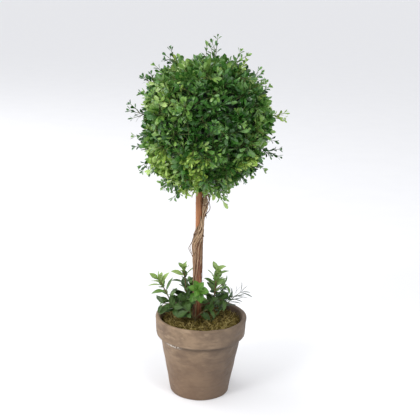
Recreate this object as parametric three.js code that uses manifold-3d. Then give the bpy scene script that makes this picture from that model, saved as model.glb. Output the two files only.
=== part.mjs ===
// Potted boxwood standard: a clipped ball of leaves on a bare stick that is wound with vine,
// with low sprigs round its foot, in a clay pot whose filling is topped with moss.
// Millimetres, +Z up. The origin is the middle of the pot's flat underside, and the front faces -Y.

import * as THREE from "three";
import { mergeVertices } from "three/addons/utils/BufferGeometryUtils.js";
import Module from "manifold-3d";

const wasm = await Module();
wasm.setup();

const DEGREE = Math.PI / 180;
const GAP = 0.3; // clearance between neighbouring pieces
const WELD = 0.02; // slivers finer than this are closed up where pieces are fused

// Clay pot
const POT_HEIGHT = 131;
const RIM_RADIUS = 75;
const RIM_BAND = 33; // height of the thick band at the top
const RIM_DRAFT = 2.2; // the band is narrower by this at its lower edge
const BODY_TOP_RADIUS = 66; // the body just under the band
const BASE_RADIUS = 48.3;
const POT_WALL = 7;
const POT_FLOOR = 10;
const FLOOR_RADIUS = 43; // of the inside, at the floor
const LIP_ROUND = 2.8;
const BAND_ROUND = 4;
const BASE_ROUND = 1.5;
const ROUND_STEPS = 2;
const POT_FACETS = 44;

// Filling and moss
const FILL_TOP = 108;
const MOSS_TOP = 123; // level of the ground at the trunk and at the sprigs
const MOSS_EDGE = 120; // level along the wall
const MOSS_LUMP = 2.2; // height of the lumps between the feet
const MOSS_LUMP_WIDTH = 7;
const MOSS_SHOULDER = 8; // the moss falls to its edge over about this
const MOSS_RINGS = 8;
const FOOT_PAD = 9; // the moss is level this far round each foot
const FOOT_BLEND = 8; // and takes up its lumps over this
const GROUND = MOSS_TOP + GAP; // every stem ends here in a flat cut
const ROOTED = 4; // length of stem under the ground before that cut

// Trunk: a straight peeled stick that leans a little to the left
const TRUNK_FOOT = new THREE.Vector3(-5.5, 0, GROUND);
const TRUNK_TIP = new THREE.Vector3(-9, 0, 424);
const TRUNK_STICK = { root: 5.8, tip: 5.2, sides: 14, steps: 6 };

// Vine: strands side by side in one bundle that climbs round the trunk
const VINE_STRANDS = 6;
const VINE_SHORT_STRANDS = [1, 4]; // these two start above the ground
const VINE_SHORT_FOOT = 165;
const VINE_TOPS = [284, 300, 354, 354, 354, 354]; // the two strands at the left end early
const VINE_TURN = 460; // height of one turn, apart from the crossing
const VINE_CROSSING = 42 * DEGREE; // the bundle swings this far to either side of the front
const VINE_CROSSING_HEIGHT = 14; // over about this height
const VINE_FRONT_LEVEL = 268; // where the bundle passes in front
const VINE_SPACING = 28 * DEGREE;
const VINE_STEM = { root: 1.65, tip: 1.3, sides: 5, steps: 28 };
const VINE_SWAY = 9 * DEGREE; // the bundle wanders this far to either side
const VINE_SWAY_LENGTH = 76;

// Crown: twigs that stand out of a core, clipped to a ball, with some longer leaders
const CROWN_CENTRE = new THREE.Vector3(0, 0, 447);
const CROWN_REACH = 138; // nothing stands further from the middle than this
const CROWN_SEED = 37;
const CORE_RADIUS = 85;
const CORE_DETAIL = 3;
const CORE_LUMP = 1; // height of the core's lumps
const CORE_LUMP_WIDTH = 8;
const CROWN_TWIGS = 82;
const TWIG_SUNK = 7; // length of a twig's root inside the core
const TWIG_LEAN = 0.12; // largest sideways turn of a twig, as a share of its way out
const TWIG_TIP = 102; // distance of an ordinary twig's tip from the middle
const TWIG_TIP_SPREAD = 6;
const TWIG_HANG = 8; // the lowest twigs are longer by this
// Swells and hollows of the ball: angle in the front plane from +X, rise, and how far it spreads
const CROWN_SWELLS = [
  { angle: 210, rise: 9, spread: 0.02 },
  { angle: 248, rise: 9, spread: 0.015 },
  { angle: 82, rise: -8, spread: 0.04 },
  { angle: 38, rise: -8, spread: 0.012 },
  { angle: 178, rise: -8, spread: 0.03 },
  { angle: 306, rise: -7, spread: 0.012 },
  { angle: 342, rise: -7, spread: 0.02 },
];
const LEADER_RISE = 4; // a leader's last leaves reach this far past its tip
// Leaders that stand out of the outline: angle in the front plane from +X, and reach
const OUTLINE_LEADERS = [
  { angle: 84, reach: 135 },
  { angle: 66, reach: 124 },
  { angle: 44, reach: 117 },
  { angle: 9, reach: 126 },
  { angle: -23, reach: 129 },
  { angle: -122, reach: 126 },
  { angle: -145, reach: 127 },
  { angle: 172, reach: 123 },
  { angle: 145, reach: 123 },
  { angle: 117, reach: 128 },
];
const SIDE_LEADERS = 6; // further leaders, on the front and the back
const SIDE_LEADER_REACH = 121;
const SIDE_LEADER_DEPTH = 0.5; // least share of its direction that points to the front or the back

// Sprigs round the foot of the trunk: foot and tip on plan, level of the tip, the way it grows, and
// for one that nods at its tip the place of its bend
const SPRIG_SEED = 30;
const SPRIGS = [
  { name: "sprig_left", foot: [-40, 2], tip: [-69, -4], level: 189, habit: "broad" },
  { name: "sprig_mid_left", foot: [-22, 16], tip: [-30, 12], level: 203, habit: "broad" },
  { name: "sprig_front", foot: [-9, -20], tip: [-6, -34], level: 186, habit: "rosette", bend: [0.1, 0.88] },
  { name: "sprig_right", foot: [19, 2], tip: [24, -4], level: 206, habit: "broad" },
  { name: "sprig_small_right", foot: [28, 16], tip: [36, 8], level: 176, habit: "small" },
  { name: "spray_narrow_right", foot: [14, -14], tip: [63, -8], level: 174, habit: "narrow" },
  { name: "sprig_back_left", foot: [-20, 40], tip: [-17, 46], level: 164, habit: "broad" },
  { name: "sprig_back_right", foot: [18, 40], tip: [24, 46], level: 170, habit: "broad" },
];
const SPRIG_BEND = [0.35, 0.55]; // place of a stem's bend on the way to its tip, and share of the height

// Outlines of a blade, as corners from root to tip: place along the length, and half width
const SPOON_BLADE = [
  [0, 0],
  [0.62, 0.5],
  [1, 0],
];
const OVAL_BLADE = [
  [0, 0],
  [0.35, 0.46],
  [0.7, 0.42],
  [1, 0],
];
const LANCE_BLADE = [
  [0, 0],
  [0.45, 0.5],
  [1, 0],
];

const BLADE_THICKEST = 0.3; // place of a blade's greatest thickness along its length
const BLADE_FOLD = 0.25; // rise of a blade's edges, as a share of its width
const BLADE_BOW = 0.12; // droop of its tip, as a share of its length

// Ways that a stem grows its leaves. Sizes shrink to taper at the tip, roll turns each pair on from
// the last, and a pair opens from the stem by spread.
const HABITS = {
  clipped: {
    stem: { root: 3, tip: 0, sides: 4, steps: 1 },
    leaf: { length: 27, width: 18, thickness: 1.5, outline: SPOON_BLADE },
    pairs: 2,
    first: 0.5,
    last: 0.8,
    taper: 0.85,
    roll: 90 * DEGREE,
    spread: 66 * DEGREE,
  },
  leader: {
    stem: { root: 2.8, tip: 0, sides: 4, steps: 1 },
    leaf: { length: 17, width: 9.5, thickness: 1.2, outline: SPOON_BLADE },
    pairs: 3,
    first: 0.45,
    last: 0.84,
    taper: 0.85,
    roll: 90 * DEGREE,
    spread: 42 * DEGREE,
  },
  broad: {
    stem: { root: 1.5, tip: 0.8, sides: 4, steps: 4 },
    leaf: { length: 24, width: 12, thickness: 1, outline: OVAL_BLADE },
    pairs: 6,
    first: 0.22,
    last: 0.94,
    taper: 0.8,
    roll: 82 * DEGREE,
    spread: 56 * DEGREE,
  },
  rosette: {
    stem: { root: 1.4, tip: 0.9, sides: 4, steps: 4 },
    leaf: { length: 23, width: 12, thickness: 1, outline: OVAL_BLADE },
    pairs: 5,
    first: 0.5,
    last: 0.94,
    taper: 0.95,
    roll: 72 * DEGREE,
    spread: 66 * DEGREE,
  },
  small: {
    stem: { root: 1.3, tip: 0.7, sides: 4, steps: 4 },
    leaf: { length: 14, width: 8, thickness: 0.8, outline: OVAL_BLADE },
    pairs: 7,
    first: 0.25,
    last: 0.94,
    taper: 0.9,
    roll: 90 * DEGREE,
    spread: 56 * DEGREE,
  },
  narrow: {
    stem: { root: 1.2, tip: 0.6, sides: 4, steps: 5 },
    leaf: { length: 24, width: 4.6, thickness: 0.8, outline: LANCE_BLADE },
    pairs: 7,
    first: 0.4,
    last: 0.94,
    taper: 0.8,
    roll: 0,
    spread: 48 * DEGREE,
  },
};

// Finishes
const CLAY = { color: 0x8c7764, roughness: 0.9, metalness: 0 };
const FILLING = { color: 0x6d5c45, roughness: 0.95, metalness: 0 };
const MOSS = { color: 0x5c5428, roughness: 1, metalness: 0 };
const PEELED_WOOD = { color: 0x9e6f49, roughness: 0.6, metalness: 0 };
const VINE_BARK = { color: 0x8a705b, roughness: 0.85, metalness: 0 };
const BOX_GREEN = { color: 0x3f6a2d, roughness: 0.5, metalness: 0 };
const SPRIG_GREENS = {
  broad: { color: 0x3c7a35, roughness: 0.45, metalness: 0 },
  rosette: { color: 0x5cab4a, roughness: 0.45, metalness: 0 },
  small: { color: 0x2f5238, roughness: 0.5, metalness: 0 },
  narrow: { color: 0x4a5a4a, roughness: 0.55, metalness: 0 },
};

// How leaves vary: their turn round the stem and their opening, in radians, and how much wider the
// first pair opens than the last
const ROLL_SPREAD = 0.4;
const OPEN_SPREAD = 0.25;
const OPEN_FIRST = 1.1;
const OPEN_LAST = 0.85;

const UP = new THREE.Vector3(0, 0, 1);
const FRONT = new THREE.Vector3(0, -1, 0);
const NEAR_FRONT = 0.9; // a line that points forwards more than this takes its sides from +Z
const GOLDEN_ANGLE = Math.PI * (3 - Math.sqrt(5));

// Random numbers from 0 to 1, the same on each run
function seeded(seed) {
  let state = seed >>> 0;
  return () => {
    state = (Math.imul(state, 1664525) + 1013904223) >>> 0;
    return state / 2 ** 32;
  };
}

// A closed geometry as a solid that can be joined and cut
function solidOf(geometry) {
  const bare = geometry.clone();
  bare.deleteAttribute("normal");
  bare.deleteAttribute("uv");
  const merged = mergeVertices(bare);
  const mesh = new wasm.Mesh({
    numProp: 3,
    vertProperties: merged.attributes.position.array,
    triVerts: new Uint32Array(merged.index.array),
  });
  return new wasm.Manifold(mesh);
}

// The geometry of a joined or cut solid
function geometryOf(solid) {
  const mesh = solid.getMesh();
  const geometry = new THREE.BufferGeometry();
  geometry.setAttribute("position", new THREE.BufferAttribute(mesh.vertProperties, 3));
  geometry.setIndex(new THREE.BufferAttribute(mesh.triVerts, 1));
  geometry.computeVertexNormals();
  return geometry;
}

// One solid from many, without loose scraps or sealed hollows
function fused(solids) {
  const bodies = wasm.Manifold.union(solids).simplify(WELD).decompose();
  return bodies.reduce((largest, body) => (body.volume() > largest.volume() ? body : largest));
}

// Whether a solid runs into any of the obstacles
function touches(solid, obstacles) {
  return obstacles.some((obstacle) => !solid.intersect(obstacle).isEmpty());
}

// A solid cut off flat at the ground
function aboveGround(solid) {
  const earth = new THREE.BoxGeometry(2 * RIM_RADIUS, 2 * RIM_RADIUS, POT_HEIGHT);
  return solid.subtract(solidOf(earth.translate(0, 0, GROUND - POT_HEIGHT / 2)));
}

// A solid of revolution about +Z, from a profile of radius and height that runs from axis to axis
function turned(profile) {
  return new THREE.LatheGeometry(profile, POT_FACETS).rotateX(Math.PI / 2);
}

// The curve's place at a share of its length, and two directions across it, one in the front plane
function frameAt(curve, share) {
  const along = curve.getTangentAt(share);
  const across = Math.abs(along.dot(FRONT)) > NEAR_FRONT ? UP : FRONT;
  const side = new THREE.Vector3().crossVectors(along, across).normalize();
  const other = new THREE.Vector3().crossVectors(along, side);
  return { place: curve.getPointAt(share), along, side, other };
}

// A tapering limb along a curve: a cylinder whose rings are set on the curve, turned by roll from
// where the middle of a flat faces sideways
function limb(curve, { root, tip, sides, steps }, roll) {
  const geometry = new THREE.CylinderGeometry(tip, root, 1, sides, steps);
  geometry.rotateY(roll + Math.PI / sides);
  const position = geometry.attributes.position;
  for (let i = 0; i < position.count; i++) {
    const ring = Math.round((position.getY(i) + 0.5) * steps);
    const { place, side, other } = frameAt(curve, ring / steps);
    place.addScaledVector(side, position.getZ(i)).addScaledVector(other, position.getX(i));
    position.setXYZ(i, place.x, place.y, place.z);
  }
  return geometry;
}

// A leaf's blade with its root at the origin, length along +X and upper face towards +Z, folded up
// along its middle and bowed down to its tip. It is a flat double pyramid on the outline.
function blade({ length, width, thickness, outline }, margin) {
  const sides = outline.filter(([, half]) => half > 0);
  const tip = outline.filter(([along, half]) => along > 0 && half === 0);
  const mirrored = sides.map(([along, half]) => [along, -half]).reverse();
  const rim = [outline[0], ...sides, ...tip, ...mirrored];
  const geometry = new THREE.SphereGeometry(1, rim.length, 2);
  const position = geometry.attributes.position;
  for (let i = 0; i < position.count; i++) {
    const height = Math.round(position.getY(i));
    const [along, half] = height === 0 ? rim[i % (rim.length + 1) % rim.length] : [BLADE_THICKEST, 0];
    const shape = BLADE_FOLD * width * Math.abs(half) - BLADE_BOW * length * along ** 2;
    const lift = shape + height * (thickness / 2 + margin);
    position.setXYZ(i, along * (length + margin), -half * (width + 2 * margin), lift);
  }
  return geometry;
}

// Solids of a stem and its opposite pairs of leaves. A leaf that would touch an obstacle or leave
// the space is skipped.
function leafyStem(curve, habit, firstRoll, random, obstacles, inSpace) {
  const solids = [solidOf(limb(curve, habit.stem, firstRoll))];
  for (let pair = 0; pair < habit.pairs; pair++) {
    const rise = pair / (habit.pairs - 1);
    const share = THREE.MathUtils.lerp(habit.first, habit.last, rise);
    const size = THREE.MathUtils.lerp(1, habit.taper, rise);
    const opening = THREE.MathUtils.lerp(OPEN_FIRST, OPEN_LAST, rise);
    const { place, along, side, other } = frameAt(curve, share);
    for (const half of [0, Math.PI]) {
      const roll = firstRoll + pair * habit.roll + half + (random() - 0.5) * ROLL_SPREAD;
      const open = habit.spread * opening + (random() - 0.5) * OPEN_SPREAD;
      const out = side.clone().multiplyScalar(Math.cos(roll)).addScaledVector(other, Math.sin(roll));
      const length = along.clone().multiplyScalar(Math.cos(open)).addScaledVector(out, Math.sin(open));
      const face = along.clone().multiplyScalar(Math.sin(open)).addScaledVector(out, -Math.cos(open));
      const width = new THREE.Vector3().crossVectors(face, length);
      const pose = new THREE.Matrix4().makeBasis(length, width, face).setPosition(place);
      pose.scale(new THREE.Vector3(size, size, size));
      const room = solidOf(blade(habit.leaf, GAP).applyMatrix4(pose));
      const leaf = blade(habit.leaf, 0).applyMatrix4(pose);
      if (inSpace(leaf) && !touches(room, obstacles)) {
        solids.push(solidOf(leaf));
      }
    }
  }
  return solids;
}

// Radius of the pot's inner wall at a height
function innerRadius(height) {
  const share = (height - POT_FLOOR) / (POT_HEIGHT - POT_FLOOR);
  return THREE.MathUtils.lerp(FLOOR_RADIUS, RIM_RADIUS - POT_WALL, share);
}

function potGeometry() {
  const bandFoot = POT_HEIGHT - RIM_BAND;
  const bandFootRadius = RIM_RADIUS - RIM_DRAFT;
  const lipFoot = POT_HEIGHT - LIP_ROUND;
  const lipInside = RIM_RADIUS - POT_WALL;
  const profile = new THREE.Path();
  profile.moveTo(0, 0);
  profile.lineTo(BASE_RADIUS - BASE_ROUND, 0);
  profile.quadraticCurveTo(BASE_RADIUS, 0, BASE_RADIUS, BASE_ROUND);
  profile.lineTo(BODY_TOP_RADIUS, bandFoot);
  profile.lineTo(bandFootRadius - BAND_ROUND, bandFoot);
  profile.quadraticCurveTo(bandFootRadius, bandFoot, bandFootRadius, bandFoot + BAND_ROUND);
  profile.lineTo(RIM_RADIUS, lipFoot);
  profile.quadraticCurveTo(RIM_RADIUS, POT_HEIGHT, RIM_RADIUS - LIP_ROUND, POT_HEIGHT);
  profile.lineTo(lipInside + LIP_ROUND, POT_HEIGHT);
  profile.quadraticCurveTo(lipInside, POT_HEIGHT, innerRadius(lipFoot), lipFoot);
  profile.lineTo(innerRadius(POT_FLOOR), POT_FLOOR);
  profile.lineTo(0, POT_FLOOR);
  return turned(profile.getPoints(ROUND_STEPS));
}

function fillGeometry() {
  const foot = POT_FLOOR + GAP;
  const profile = new THREE.Path();
  profile.moveTo(0, foot);
  profile.lineTo(innerRadius(foot) - GAP, foot);
  profile.lineTo(innerRadius(FILL_TOP) - GAP, FILL_TOP);
  profile.lineTo(0, FILL_TOP);
  return turned(profile.getPoints());
}

// Height of the moss over its general level: lumps that fade out round each foot and at the wall
function mossLump(x, y, feet) {
  const [across, back] = [x / MOSS_LUMP_WIDTH, y / MOSS_LUMP_WIDTH];
  const lump = (Math.sin(across + Math.sin(back)) + Math.sin(back + Math.sin(across))) / 2;
  const away = Math.min(...feet.map((foot) => foot.distanceTo(new THREE.Vector2(x, y))));
  const offFeet = THREE.MathUtils.smoothstep(away, FOOT_PAD, FOOT_PAD + FOOT_BLEND);
  const fromWall = innerRadius(MOSS_EDGE) - Math.hypot(x, y);
  const offWall = THREE.MathUtils.smoothstep(fromWall, 2 * GAP, MOSS_SHOULDER);
  return MOSS_LUMP * lump * offFeet * offWall;
}

function mossGeometry() {
  const foot = FILL_TOP + GAP;
  const rimRadius = innerRadius(MOSS_EDGE) - GAP;
  const profile = [new THREE.Vector2(0, foot), new THREE.Vector2(innerRadius(foot) - GAP, foot)];
  for (let ring = 0; ring <= MOSS_RINGS; ring++) {
    const inward = (rimRadius * ring) / MOSS_RINGS;
    const rise = THREE.MathUtils.smoothstep(inward, 0, 2 * MOSS_SHOULDER);
    profile.push(new THREE.Vector2(rimRadius - inward, THREE.MathUtils.lerp(MOSS_EDGE, MOSS_TOP, rise)));
  }
  const trunkFoot = new THREE.Vector2(TRUNK_FOOT.x, TRUNK_FOOT.y);
  const feet = [trunkFoot, ...SPRIGS.map((sprig) => new THREE.Vector2(...sprig.foot))];
  const geometry = turned(profile);
  const position = geometry.attributes.position;
  for (let i = 0; i < position.count; i++) {
    const [x, y, z] = [position.getX(i), position.getY(i), position.getZ(i)];
    position.setZ(i, z > MOSS_EDGE - GAP ? z + mossLump(x, y, feet) : z);
  }
  return geometry;
}

// The middle of the trunk at a height
function trunkAxis(level) {
  const rise = (level - TRUNK_FOOT.z) / (TRUNK_TIP.z - TRUNK_FOOT.z);
  return new THREE.Vector3().lerpVectors(TRUNK_FOOT, TRUNK_TIP, rise);
}

// The trunk, or with a margin the room that it takes up in the crown's core
function trunkGeometry(margin) {
  const axis = new THREE.LineCurve3(trunkAxis(GROUND - ROOTED), trunkAxis(TRUNK_TIP.z + margin));
  const { root, tip, sides, steps } = TRUNK_STICK;
  return limb(axis, { root: root + margin, tip: tip + margin, sides, steps }, 0);
}

// The line of one strand of vine, which lies against the trunk all the way up
class Winding extends THREE.Curve {
  constructor(strand) {
    super();
    this.foot = VINE_SHORT_STRANDS.includes(strand) ? VINE_SHORT_FOOT : GROUND - ROOTED;
    this.top = VINE_TOPS[strand];
    this.phase = (strand - (VINE_STRANDS - 1) / 2) * VINE_SPACING - Math.PI / 2;
  }

  getPoint(share) {
    const level = THREE.MathUtils.lerp(this.foot, this.top, share);
    const climb = level - VINE_FRONT_LEVEL;
    const sway = VINE_SWAY * Math.sin((2 * Math.PI * climb) / VINE_SWAY_LENGTH);
    const crossing = VINE_CROSSING * Math.tanh(climb / VINE_CROSSING_HEIGHT);
    const turn = this.phase + (2 * Math.PI * climb) / VINE_TURN + crossing + sway;
    const orbit = TRUNK_STICK.root + GAP + VINE_STEM.root;
    return trunkAxis(level).add(new THREE.Vector3(orbit * Math.cos(turn), orbit * Math.sin(turn), 0));
  }
}

// Directions spread evenly over a ball
function evenDirections(count) {
  return Array.from({ length: count }, (_, i) => {
    const height = 1 - (2 * (i + 0.5)) / count;
    const level = Math.sqrt(1 - height ** 2);
    const turn = i * GOLDEN_ANGLE;
    return new THREE.Vector3(level * Math.cos(turn), level * Math.sin(turn), height);
  });
}

// How much the swells and hollows add in a direction, the less the more this leaves the outline
function crownSwell(direction) {
  const flat = new THREE.Vector2(direction.x, direction.z);
  return CROWN_SWELLS.reduce((sum, { angle, rise, spread }) => {
    const near = Math.cos(flat.angle() - angle * DEGREE) - 1;
    return sum + rise * flat.lengthSq() * Math.exp(near / spread);
  }, 0);
}

// Where each twig of the crown points, how far its tip stands from the middle, and its habit
function crownTwigs(random) {
  const ordinary = evenDirections(CROWN_TWIGS).map((direction) => {
    const lean = new THREE.Vector3(random() - 0.5, random() - 0.5, random() - 0.5);
    const hang = TWIG_HANG * Math.max(0, -direction.z) + crownSwell(direction);
    const tip = TWIG_TIP + hang + (random() - 0.5) * 2 * TWIG_TIP_SPREAD;
    return { direction, lean: lean.multiplyScalar(2 * TWIG_LEAN), tip, habit: HABITS.clipped };
  });
  const leader = (direction, reach) => {
    return { direction, lean: new THREE.Vector3(), tip: reach - LEADER_RISE, habit: HABITS.leader };
  };
  const outline = OUTLINE_LEADERS.map(({ angle, reach }) => {
    return leader(new THREE.Vector3(Math.cos(angle * DEGREE), 0, Math.sin(angle * DEGREE)), reach);
  });
  const sides = evenDirections(SIDE_LEADERS).map(({ x, y, z }) => {
    const depth = Math.sign(y) * Math.max(Math.abs(y), SIDE_LEADER_DEPTH);
    return leader(new THREE.Vector3(z, depth, x).normalize(), SIDE_LEADER_REACH);
  });
  return [...ordinary, ...outline, ...sides];
}

// The lumpy ball that the twigs stand out of
function coreGeometry() {
  const geometry = new THREE.IcosahedronGeometry(CORE_RADIUS, CORE_DETAIL);
  const position = geometry.attributes.position;
  const point = new THREE.Vector3();
  for (let i = 0; i < position.count; i++) {
    point.fromBufferAttribute(position, i);
    const waves = point.clone().divideScalar(CORE_LUMP_WIDTH);
    const lump = CORE_LUMP * (Math.sin(waves.x) + Math.sin(waves.y) + Math.sin(waves.z));
    point.setLength(CORE_RADIUS + lump).add(CROWN_CENTRE);
    position.setXYZ(i, point.x, point.y, point.z);
  }
  return geometry;
}

function crownGeometry(obstacles) {
  const random = seeded(CROWN_SEED);
  const inSpace = (leaf) => {
    const position = leaf.attributes.position;
    const corner = new THREE.Vector3();
    for (let i = 0; i < position.count; i++) {
      if (corner.fromBufferAttribute(position, i).distanceTo(CROWN_CENTRE) > CROWN_REACH) {
        return false;
      }
    }
    return true;
  };
  const solids = [solidOf(coreGeometry())];
  for (const { direction, lean, tip, habit } of crownTwigs(random)) {
    const root = CROWN_CENTRE.clone().addScaledVector(direction, CORE_RADIUS - TWIG_SUNK);
    const end = CROWN_CENTRE.clone().addScaledVector(direction.clone().add(lean).normalize(), tip);
    const twig = new THREE.LineCurve3(root, end);
    const grown = leafyStem(twig, habit, random() * Math.PI, random, obstacles, inSpace);
    if (!touches(grown[0], obstacles)) {
      solids.push(...grown);
    }
  }
  const socket = solidOf(trunkGeometry(GAP));
  return geometryOf(fused(solids).subtract(socket));
}

// A stem that rises from its foot on the moss and bends over towards its tip
function sprigCurve({ foot, tip, level, bend = SPRIG_BEND }) {
  const root = new THREE.Vector3(foot[0], foot[1], GROUND - ROOTED);
  const end = new THREE.Vector3(tip[0], tip[1], level);
  const turn = root.clone().lerp(end, bend[0]);
  turn.z = THREE.MathUtils.lerp(root.z, level, bend[1]);
  return new THREE.QuadraticBezierCurve3(root, turn, end);
}

const plant = new THREE.Group();

function addPiece(name, geometry, look) {
  const mesh = new THREE.Mesh(geometry, new THREE.MeshStandardMaterial(look));
  mesh.name = name;
  plant.add(mesh);
  return solidOf(geometry);
}

const pot = addPiece("pot", potGeometry(), CLAY);
addPiece("fill", fillGeometry(), FILLING);
const moss = addPiece("moss", mossGeometry(), MOSS);
const trunk = addPiece("trunk", geometryOf(aboveGround(solidOf(trunkGeometry(0)))), PEELED_WOOD);
const vines = [];
for (let strand = 0; strand < VINE_STRANDS; strand++) {
  const stem = aboveGround(solidOf(limb(new Winding(strand), VINE_STEM, 0)));
  vines.push(addPiece(`vine_${strand + 1}`, geometryOf(stem), VINE_BARK));
}
addPiece("crown", crownGeometry([trunk, ...vines]), BOX_GREEN);

const standing = [pot, moss, trunk, ...vines];
const sprigRandom = seeded(SPRIG_SEED);
for (const sprig of SPRIGS) {
  const solids = leafyStem(sprigCurve(sprig), HABITS[sprig.habit], 0, sprigRandom, standing, () => true);
  const whole = aboveGround(fused(solids));
  standing.push(addPiece(sprig.name, geometryOf(whole), SPRIG_GREENS[sprig.habit]));
}

export default plant;
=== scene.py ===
"""Potted boxwood standard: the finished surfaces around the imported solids.

Everything is in metres, in the frame of the solids: +Z up, the front towards -Y, and the origin in
the middle of the pot's underside.
"""

import logging
import math
from collections.abc import Iterator, Sequence
from dataclasses import dataclass, field, replace
from enum import Enum

import bmesh
import bpy
import numpy as np
from mathutils import Matrix, Vector, noise


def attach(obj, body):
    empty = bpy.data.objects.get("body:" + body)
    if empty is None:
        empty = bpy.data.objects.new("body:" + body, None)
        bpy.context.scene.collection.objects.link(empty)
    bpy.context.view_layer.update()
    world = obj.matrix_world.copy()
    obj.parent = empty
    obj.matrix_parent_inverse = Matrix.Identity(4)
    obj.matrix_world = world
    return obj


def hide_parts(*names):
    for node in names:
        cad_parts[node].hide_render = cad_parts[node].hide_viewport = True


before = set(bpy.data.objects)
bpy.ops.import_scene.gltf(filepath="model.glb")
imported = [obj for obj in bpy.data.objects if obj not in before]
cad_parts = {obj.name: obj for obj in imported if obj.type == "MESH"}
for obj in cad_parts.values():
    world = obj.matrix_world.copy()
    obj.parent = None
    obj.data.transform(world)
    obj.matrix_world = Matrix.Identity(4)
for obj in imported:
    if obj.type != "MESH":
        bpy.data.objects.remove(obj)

LOG = logging.getLogger("boxwood")
BODY = "root"
UP = Vector((0, 0, 1))
FRONT = Vector((0, -1, 0))
NEAR_FRONT = 0.9
GOLDEN_ANGLE = math.pi * (3 - math.sqrt(5))
GROUND = 0.1233
STICK_ROOM = 0.0115
SAME_PLACE = 1e-6
UV_NAME = "blade"
SHADE_NAME = "shade"

Colour = tuple[float, float, float, float]
Triple = tuple[float, float, float]
Pair = tuple[float, float]
BMesh = bmesh.types.BMesh
Material = bpy.types.Material


def colour(code: str) -> Colour:
    """The linear colour of a display colour.

    Args:
        code: six hexadecimal digits.

    Returns:
        Red, green, blue and an alpha of 1.
    """
    parts = [int(code[i : i + 2], 16) / 255 for i in (0, 2, 4)]
    linear = [c / 12.92 if c <= 0.04045 else ((c + 0.055) / 1.055) ** 2.4 for c in parts]
    return (linear[0], linear[1], linear[2], 1.0)


def mixed(low: float, high: float, share: float) -> float:
    """The number at a share of the way from low to high."""
    return low + (high - low) * share


def smooth_step(value: float, low: float, high: float) -> float:
    """0 below low, 1 above high, and a smooth rise between them."""
    share = min(1.0, max(0.0, (value - low) / (high - low)))
    return share * share * (3 - 2 * share)


def hump(value: float, middle: float, width: float) -> float:
    """1 in the middle, and smoothly less away from it."""
    return math.exp(-(((value - middle) / width) ** 2))


def shares(count: int) -> list[float]:
    """Even steps from 0 to 1."""
    return [i / (count - 1) for i in range(count)]


def basis(x: Vector, y: Vector, z: Vector) -> Matrix:
    """The turn that takes the three axes to these directions."""
    return Matrix((x, y, z)).transposed().to_4x4()


class Draw:
    """Seeded numbers, the same on each run, by the rule of the solids' twigs."""

    FACTOR = 1664525
    STEP = 1013904223
    SPAN = 2**32

    def __init__(self, seed: int) -> None:
        """Starts the row of numbers."""
        self.state = seed

    def unit(self) -> float:
        """The next number from 0 to 1."""
        self.state = (self.state * self.FACTOR + self.STEP) % self.SPAN
        return self.state / self.SPAN

    def spread(self, width: float) -> float:
        """The next number within width, half of it to either side of 0."""
        return (self.unit() - 0.5) * width

    def between(self, low: float, high: float) -> float:
        """The next number from low to high."""
        return mixed(low, high, self.unit())

    def vector(self, width: float) -> Vector:
        """The next three numbers, each within width about 0, as a vector."""
        return Vector((self.spread(width), self.spread(width), self.spread(width)))

    def item(self, items: Sequence) -> object:
        """One of the items, each as often as the others."""
        return items[int(self.unit() * len(items))]

    def pick(self, weights: dict) -> object:
        """One of the options.

        Args:
            weights: how often each option is picked, on any scale.

        Returns:
            The picked option.
        """
        left = self.unit() * sum(weights.values())
        for option, weight in weights.items():
            left -= weight
            if left <= 0:
                break
        return option


class Value:
    """A shader value that takes part in Python expressions."""

    def __init__(self, tree: "Tree", socket: bpy.types.NodeSocket) -> None:
        """Wraps an output socket of the tree."""
        self.tree = tree
        self.socket = socket

    def _math(self, operation: str, first: "Value | float", second: "Value | float") -> "Value":
        """The output of a Math node on two values."""
        return self.tree.node("ShaderNodeMath", {"operation": operation}, {0: first, 1: second})

    def __add__(self, other: "Value | float") -> "Value":
        """The sum."""
        return self._math("ADD", self, other)

    __radd__ = __add__

    def __sub__(self, other: "Value | float") -> "Value":
        """The difference."""
        return self._math("SUBTRACT", self, other)

    def __rsub__(self, other: float) -> "Value":
        """The difference from a number."""
        return self._math("SUBTRACT", other, self)

    def __mul__(self, other: "Value | float") -> "Value":
        """The product."""
        return self._math("MULTIPLY", self, other)

    __rmul__ = __mul__

    def __abs__(self) -> "Value":
        """The size without its sign."""
        return self._math("ABSOLUTE", self, 0.0)

    def rise(self, low: float, high: float) -> "Value":
        """0 below low, 1 above high, and a smooth rise between them."""
        sockets = {"Value": self, "From Min": low, "From Max": high}
        return self.tree.node("ShaderNodeMapRange", {"interpolation_type": "SMOOTHSTEP"}, sockets)


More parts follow.
